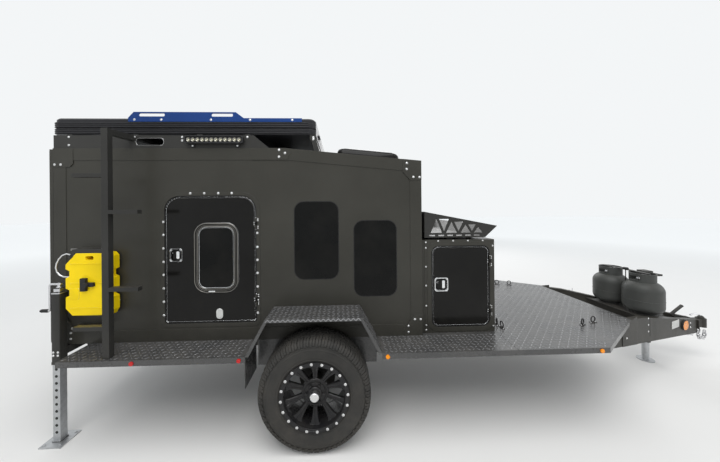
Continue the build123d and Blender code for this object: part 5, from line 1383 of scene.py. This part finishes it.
galley = Form("board", "steel", "plastic", "rubber", "chrome")
galley_x = (-3.001, -2.441)
WORKTOP = 1.125
columns = spread(-0.656, 0.656, 4)
for low, high in ((0.722, 0.912), (0.920, 1.112)):
    for left, right in zip(columns, columns[1:]):
        galley.block((galley_x[0] - 0.010, galley_x[0]), (left + 0.005, right - 0.005), (low, high), 0, 0.0025)
        middle = (left + right) / 2
        pull = [
            (galley_x[0] - 0.009, middle - 0.060, high - 0.050), (galley_x[0] - 0.022, middle - 0.052, high - 0.050)
        ]
        pull += [
            (galley_x[0] - 0.022, middle + 0.052, high - 0.050), (galley_x[0] - 0.009, middle + 0.060, high - 0.050)
        ]
        galley.tube(pull, 0.0042, 10, 2)
galley.block((galley_x[0] - 0.012, galley_x[1] - 0.020), (-0.654, 0.654), (1.1205, WORKTOP), 1, 0.0018)
for y in (-0.46, -0.20):
    ring = aimed((-2.74, y, WORKTOP), UP)
    galley.lathe([(0.105, 0.0), (0.105, 0.004), (0.098, 0.006), (0.092, 0.003), (0.0, 0.003)], ring, 40, 2)
    galley.lathe([(0.040, 0.003), (0.040, 0.016), (0.034, 0.020), (0.0, 0.021)], ring, 28, 2)
    for angle in (0.4, 1.97, 3.54, 5.11):
        way = Vector((math.cos(angle), math.sin(angle), 0.0))
        foot = Vector((-2.74, y, WORKTOP))
        galley.tube(
            [foot + way * 0.100, foot + way * 0.098 + UP * 0.030, foot + way * 0.030 + UP * 0.032], 0.0035, 8, 2
        )
    knob = aimed((-2.965, y, WORKTOP), UP)
    galley.lathe([(0.017, 0.0), (0.016, 0.012), (0.010, 0.016), (0.0, 0.0165)], knob, 22, 2)
basin = rounded((-2.90, -2.60), (0.14, 0.54), 0.07, 8)
inner = rounded((-2.885, -2.615), (0.155, 0.525), 0.058, 8)
galley.skin(
    [
        [(x, y, WORKTOP) for x, y in basin], [(x, y, 1.1275) for x, y in basin], [(x, y, 1.1275) for x, y in inner],
        [(x, y, 1.1256) for x, y in inner]
    ],
    1, ends=False
)
tap = [
    (-2.56, 0.34, 1.125), (-2.56, 0.34, 1.235), (-2.572, 0.34, 1.262), (-2.60, 0.34, 1.275), (-2.66, 0.34, 1.270),
    (-2.690, 0.34, 1.250)
]
galley.tube(tap, 0.011, 14, 4)
galley.lathe([(0.024, 0.0), (0.024, 0.006), (0.018, 0.010), (0.0, 0.010)], aimed((-2.56, 0.34, 1.125), UP), 24, 4)
galley.show("galley_fittings", "trailer")


# Rear hatch: gasket and lining inside, plate, locks and bolts outside; tail lamps' rims

hatch = Form("rubber", "panel", "pale", "steel", "plastic", "chrome")
hatch_in, hatch_out = -3.036, -3.060
outward = Matrix(((0, 0, -1, hatch_out), (1, 0, 0, 0), (0, 1, 0, 0), (0, 0, 0, 1)))
gasket = rounded((-0.672, 0.672), (0.705, 2.090), 0.05)
edge = [rounded((-0.698, 0.698), (0.680, 2.115), 0.012), rounded((-0.632, 0.632), (0.746, 2.049), 0.060)]
rings = [(edge[0], 0.0), (edge[0], 0.0030), (edge[1], 0.0030), (edge[1], 0.0)]
hatch.skin([[(hatch_out - level, y, z) for y, z in ring] for ring, level in rings], 1, closed=True)
for z in (1.05, 1.40, 1.75):
    hatch.prism(rounded((-0.54, 0.54), (z - 0.022, z + 0.022), 0.02), 0.0, 0.0035, outward, 1, 0.003, 3)
hatch.tube([(hatch_in + 0.0015, y, z) for y, z in gasket], 0.0042, 8, 0, closed=True)
hatch.prism(
    [(-y, z) for y, z in rounded((-0.625, 0.625), (0.75, 2.045), 0.04)], -0.0005, 0.0028,
    Matrix(((0, 0, 1, hatch_in), (1, 0, 0, 0), (0, 1, 0, 0), (0, 0, 0, 1))), 4, 0.001
)
hatch.prism(rounded((-0.1525, 0.1525), (0.780, 0.933), 0.012), 0.0, 0.0022, outward, 2, 0.0006)
for y in (-0.11, 0.11):
    screws(hatch, 3, 0.0042, [(hatch_out - 0.0022, y, 0.916)], BACK)
for y in (-0.17, 0.17):
    hatch.prism(rounded((y - 0.012, y + 0.012), (0.835, 0.880), 0.008), 0.0, 0.010, outward, 4, 0.003)
for y in (-0.684, 0.684):
    for z in spread(0.74, 2.06, 11):
        screws(hatch, 3, 0.0048, [(hatch_out - 0.003, y * 0.972, z)], BACK)
for z in (0.708, 2.086):
    for y in spread(-0.56, 0.56, 9):
        screws(hatch, 3, 0.0048, [(hatch_out - 0.003, y, z)], BACK)
for y in (-0.500, 0.500):
    lock = aimed((hatch_out, y + 0.075 * (1 if y < 0 else -1), 0.877), BACK)
    hatch.lathe([(0.0150, 0.0), (0.0150, 0.004), (0.0115, 0.0055), (0.0080, 0.0050), (0.0, 0.0050)], lock, 26, 5)
hatch.show("hatch_dressing", "rear_hatch")
tail = Form("plastic", "chrome", "steel", "pale")
for y in (-0.590, 0.590):
    path = rounded((y - 0.088, y + 0.088), (0.6155, 0.6565), 0.015)
    tail.tube([(-2.9795, py, pz) for py, pz in path], 0.0040, 8, 0, closed=True)
    for shift in (-0.072, 0.072):
        screws(tail, 2, 0.0028, [(-2.9815, y + shift, 0.636)], BACK)
tail.show("tail_lamp_rims", "trailer")


# Front of the storage box and of the cabin; springs, shock absorbers and hub ends below

front = Form("panel", "steel", "rubber", "zinc", "frame")
box_front = box_high.x
edge = [rounded((-0.668, 0.668), (0.668, 1.400), 0.010), rounded((-0.622, 0.622), (0.714, 1.354), 0.045)]
rings = [(edge[0], 0.0), (edge[0], 0.0025), (edge[1], 0.0025), (edge[1], 0.0)]
front.skin([[(box_front + level, y, z) for y, z in ring] for ring, level in rings], 0, closed=True)
for y in ((-0.668, -0.640), (0.640, 0.668)):
    front.block((cabin_high.x - 0.004, box_low.x + 0.001), y, (0.668, 1.400), 0)
head = screw_head(front.finishes, 1, 0.0046)
for z in spread(0.72, 1.35, 7):
    front.stamp(head, [aimed((box_front + 0.0025, y, z), AHEAD) for y in (-0.645, 0.645)])
for y in spread(-0.54, 0.54, 8):
    front.stamp(head, [aimed((box_front + 0.0025, y, z), AHEAD) for z in (0.690, 1.378)])
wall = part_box("cabin_front_wall")[1].x
for z in (1.68, 1.80, 1.92, 2.00):
    front.stamp(head, [aimed((wall, y, z), AHEAD) for y in (-0.670, 0.670)])
for y in spread(-0.56, 0.56, 8):
    front.stamp(head, [aimed((wall, y, 2.018), AHEAD)])
front.show("front_panel_trim", "trailer")

below = Form("rubber", "zinc", "frame", "steel")
spring_foot = aimed((at(-60), -0.600, 0.436), UP)
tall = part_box("air_springs")[1].z - 0.436
below.lathe([(0.0, -0.001), (0.056, -0.001), (0.062, 0.003), (0.062, 0.008), (0.050, 0.010)], spring_foot, 40, 1)
below.lathe(
    [(0.050, tall - 0.010), (0.062, tall - 0.008), (0.062, tall - 0.002), (0.0, tall - 0.001)], spring_foot, 40, 1
)
for share in (1 / 3, 2 / 3):
    ring = [(at(-60) + px, -0.600 + py, 0.436 + tall * share) for px, py in circle(0.0515, 40)]
    below.tube(ring, 0.0050, 8, 1, closed=True)
low_eye, high_eye = Vector((at(-150), -0.5275, 0.395)), Vector((at(40), -0.5275, 0.590))
way = (high_eye - low_eye).normalized()
reach = (high_eye - low_eye).length
body = aimed(low_eye, way)
below.lathe(
    [(0.010, 0.0), (0.010, 0.012), (0.021, 0.014), (0.021, 0.130), (0.018, 0.133), (0.0065, 0.134), (0.0065, reach)],
    body, 24, 2
)
below.lathe([(0.0245, 0.120), (0.0245, reach - 0.020), (0.020, reach - 0.016), (0.0, reach - 0.016)], body, 24, 2)
for eye in (low_eye, high_eye):
    stand = aimed(eye + LEFT * 0.016, RIGHT)
    below.lathe(
        [(0.0, 0.0), (0.016, 0.0), (0.018, 0.002), (0.018, 0.030), (0.016, 0.032), (0.0, 0.032)], stand, 24, 0
    )
    below.lathe([(0.007, -0.018), (0.007, 0.034), (0.0, 0.034)], stand, 12, 3)
pivot = aimed((at(480), -0.640, 0.560), RIGHT)
below.lathe([(0.038, 0.0), (0.038, 0.003), (0.024, 0.004), (0.024, 0.014), (0.020, 0.018), (0.0, 0.018)], pivot, 6, 1)
below.mirrored().show("spring_and_shock_fittings", "trailer")


# Floor, light and camera

def studio():
    """A plain pale floor, a soft dome of light and three large soft lamps."""
    bpy.ops.mesh.primitive_plane_add(size=90.0, location=(0.0, 0.0, 0.0))
    floor = bpy.context.object
    floor.name = "studio_floor"
    paint = Paint("studio_floor")
    speck = paint.noise(2.0, 3.0)
    base = paint.mix(speck * 0.3, (0.80, 0.79, 0.77), (0.74, 0.73, 0.71))
    away = paint.node("ShaderNodeVectorMath", {"operation": "LENGTH"}, (paint.place(),), output=1)
    glow = paint.mix(away.between(3.5, 15.0), (0.0, 0.0, 0.0), (0.40, 0.42, 0.43))
    floor.data.materials.append(
        paint.surface(base_color=base, roughness=0.85, emission_color=glow, emission_strength=1.0)
    )
    world = bpy.data.worlds.new("studio_dome")
    bpy.context.scene.world = world
    world.use_nodes = True
    tree = world.node_tree
    tree.nodes.clear()
    ray = tree.nodes.new("ShaderNodeLightPath")
    lit = tree.nodes.new("ShaderNodeBackground")
    seen = tree.nodes.new("ShaderNodeBackground")
    pick = tree.nodes.new("ShaderNodeMixShader")
    out = tree.nodes.new("ShaderNodeOutputWorld")
    lit.inputs["Color"].default_value = (0.92, 0.96, 1.0, 1.0)
    lit.inputs["Strength"].default_value = 0.62
    seen.inputs["Color"].default_value = (0.90, 0.92, 0.93, 1.0)
    seen.inputs["Strength"].default_value = 1.0
    highest = None
    for name in ("Is Camera Ray", "Is Glossy Ray", "Is Transmission Ray"):
        if highest is None:
            highest = ray.outputs[name]
            continue
        joined = tree.nodes.new("ShaderNodeMath")
        joined.operation = "MAXIMUM"
        tree.links.new(highest, joined.inputs[0])
        tree.links.new(ray.outputs[name], joined.inputs[1])
        highest = joined.outputs[0]
    tree.links.new(highest, pick.inputs[0])
    tree.links.new(lit.outputs[0], pick.inputs[1])
    tree.links.new(seen.outputs[0], pick.inputs[2])
    tree.links.new(pick.outputs[0], out.inputs[0])
    for name, place, aim, size, power in (
        ("overhead", (-1.0, -3.5, 7.0), (0.0, 0.0, 0.8), 6.0, 420.0),
        ("left_fill", (1.5, 7.5, 5.5), (0.0, 0.0, 1.0), 6.0, 220.0),
        ("front_fill", (8.5, -3.0, 3.5), (0.5, 0.0, 1.0), 4.0, 90.0),
    ):
        lamp = bpy.data.lights.new(name, "AREA")
        lamp.shape = "SQUARE"
        lamp.size = size
        lamp.energy = power
        holder = bpy.data.objects.new(name, lamp)
        bpy.context.scene.collection.objects.link(holder)
        holder.location = place
        holder.rotation_euler = (Vector(aim) - Vector(place)).to_track_quat("-Z", "Y").to_euler()


def stand_camera():
    """The camera where the photograph was taken: at the cabin's side, level, with a very wide lens."""
    optics = bpy.data.cameras.new("photo_camera")
    optics.lens = 13.05
    optics.sensor_width = 36.0
    optics.shift_x = 0.0153
    optics.shift_y = -0.0299
    optics.clip_start = 0.05
    holder = bpy.data.objects.new("photo_camera", optics)
    bpy.context.scene.collection.objects.link(holder)
    holder.location = (axle + 0.185, -2.72, 1.65)
    yaw = math.radians(-1.9)
    roll = math.radians(-0.5)
    turn = Matrix.Rotation(yaw, 4, "Z") @ Matrix.Rotation(math.radians(90.0), 4, "X") @ Matrix.Rotation(roll, 4, "Z")
    holder.rotation_euler = turn.to_euler()
    bpy.context.scene.camera = holder


studio()
stand_camera()
bpy.context.scene.view_settings.view_transform = "Standard"
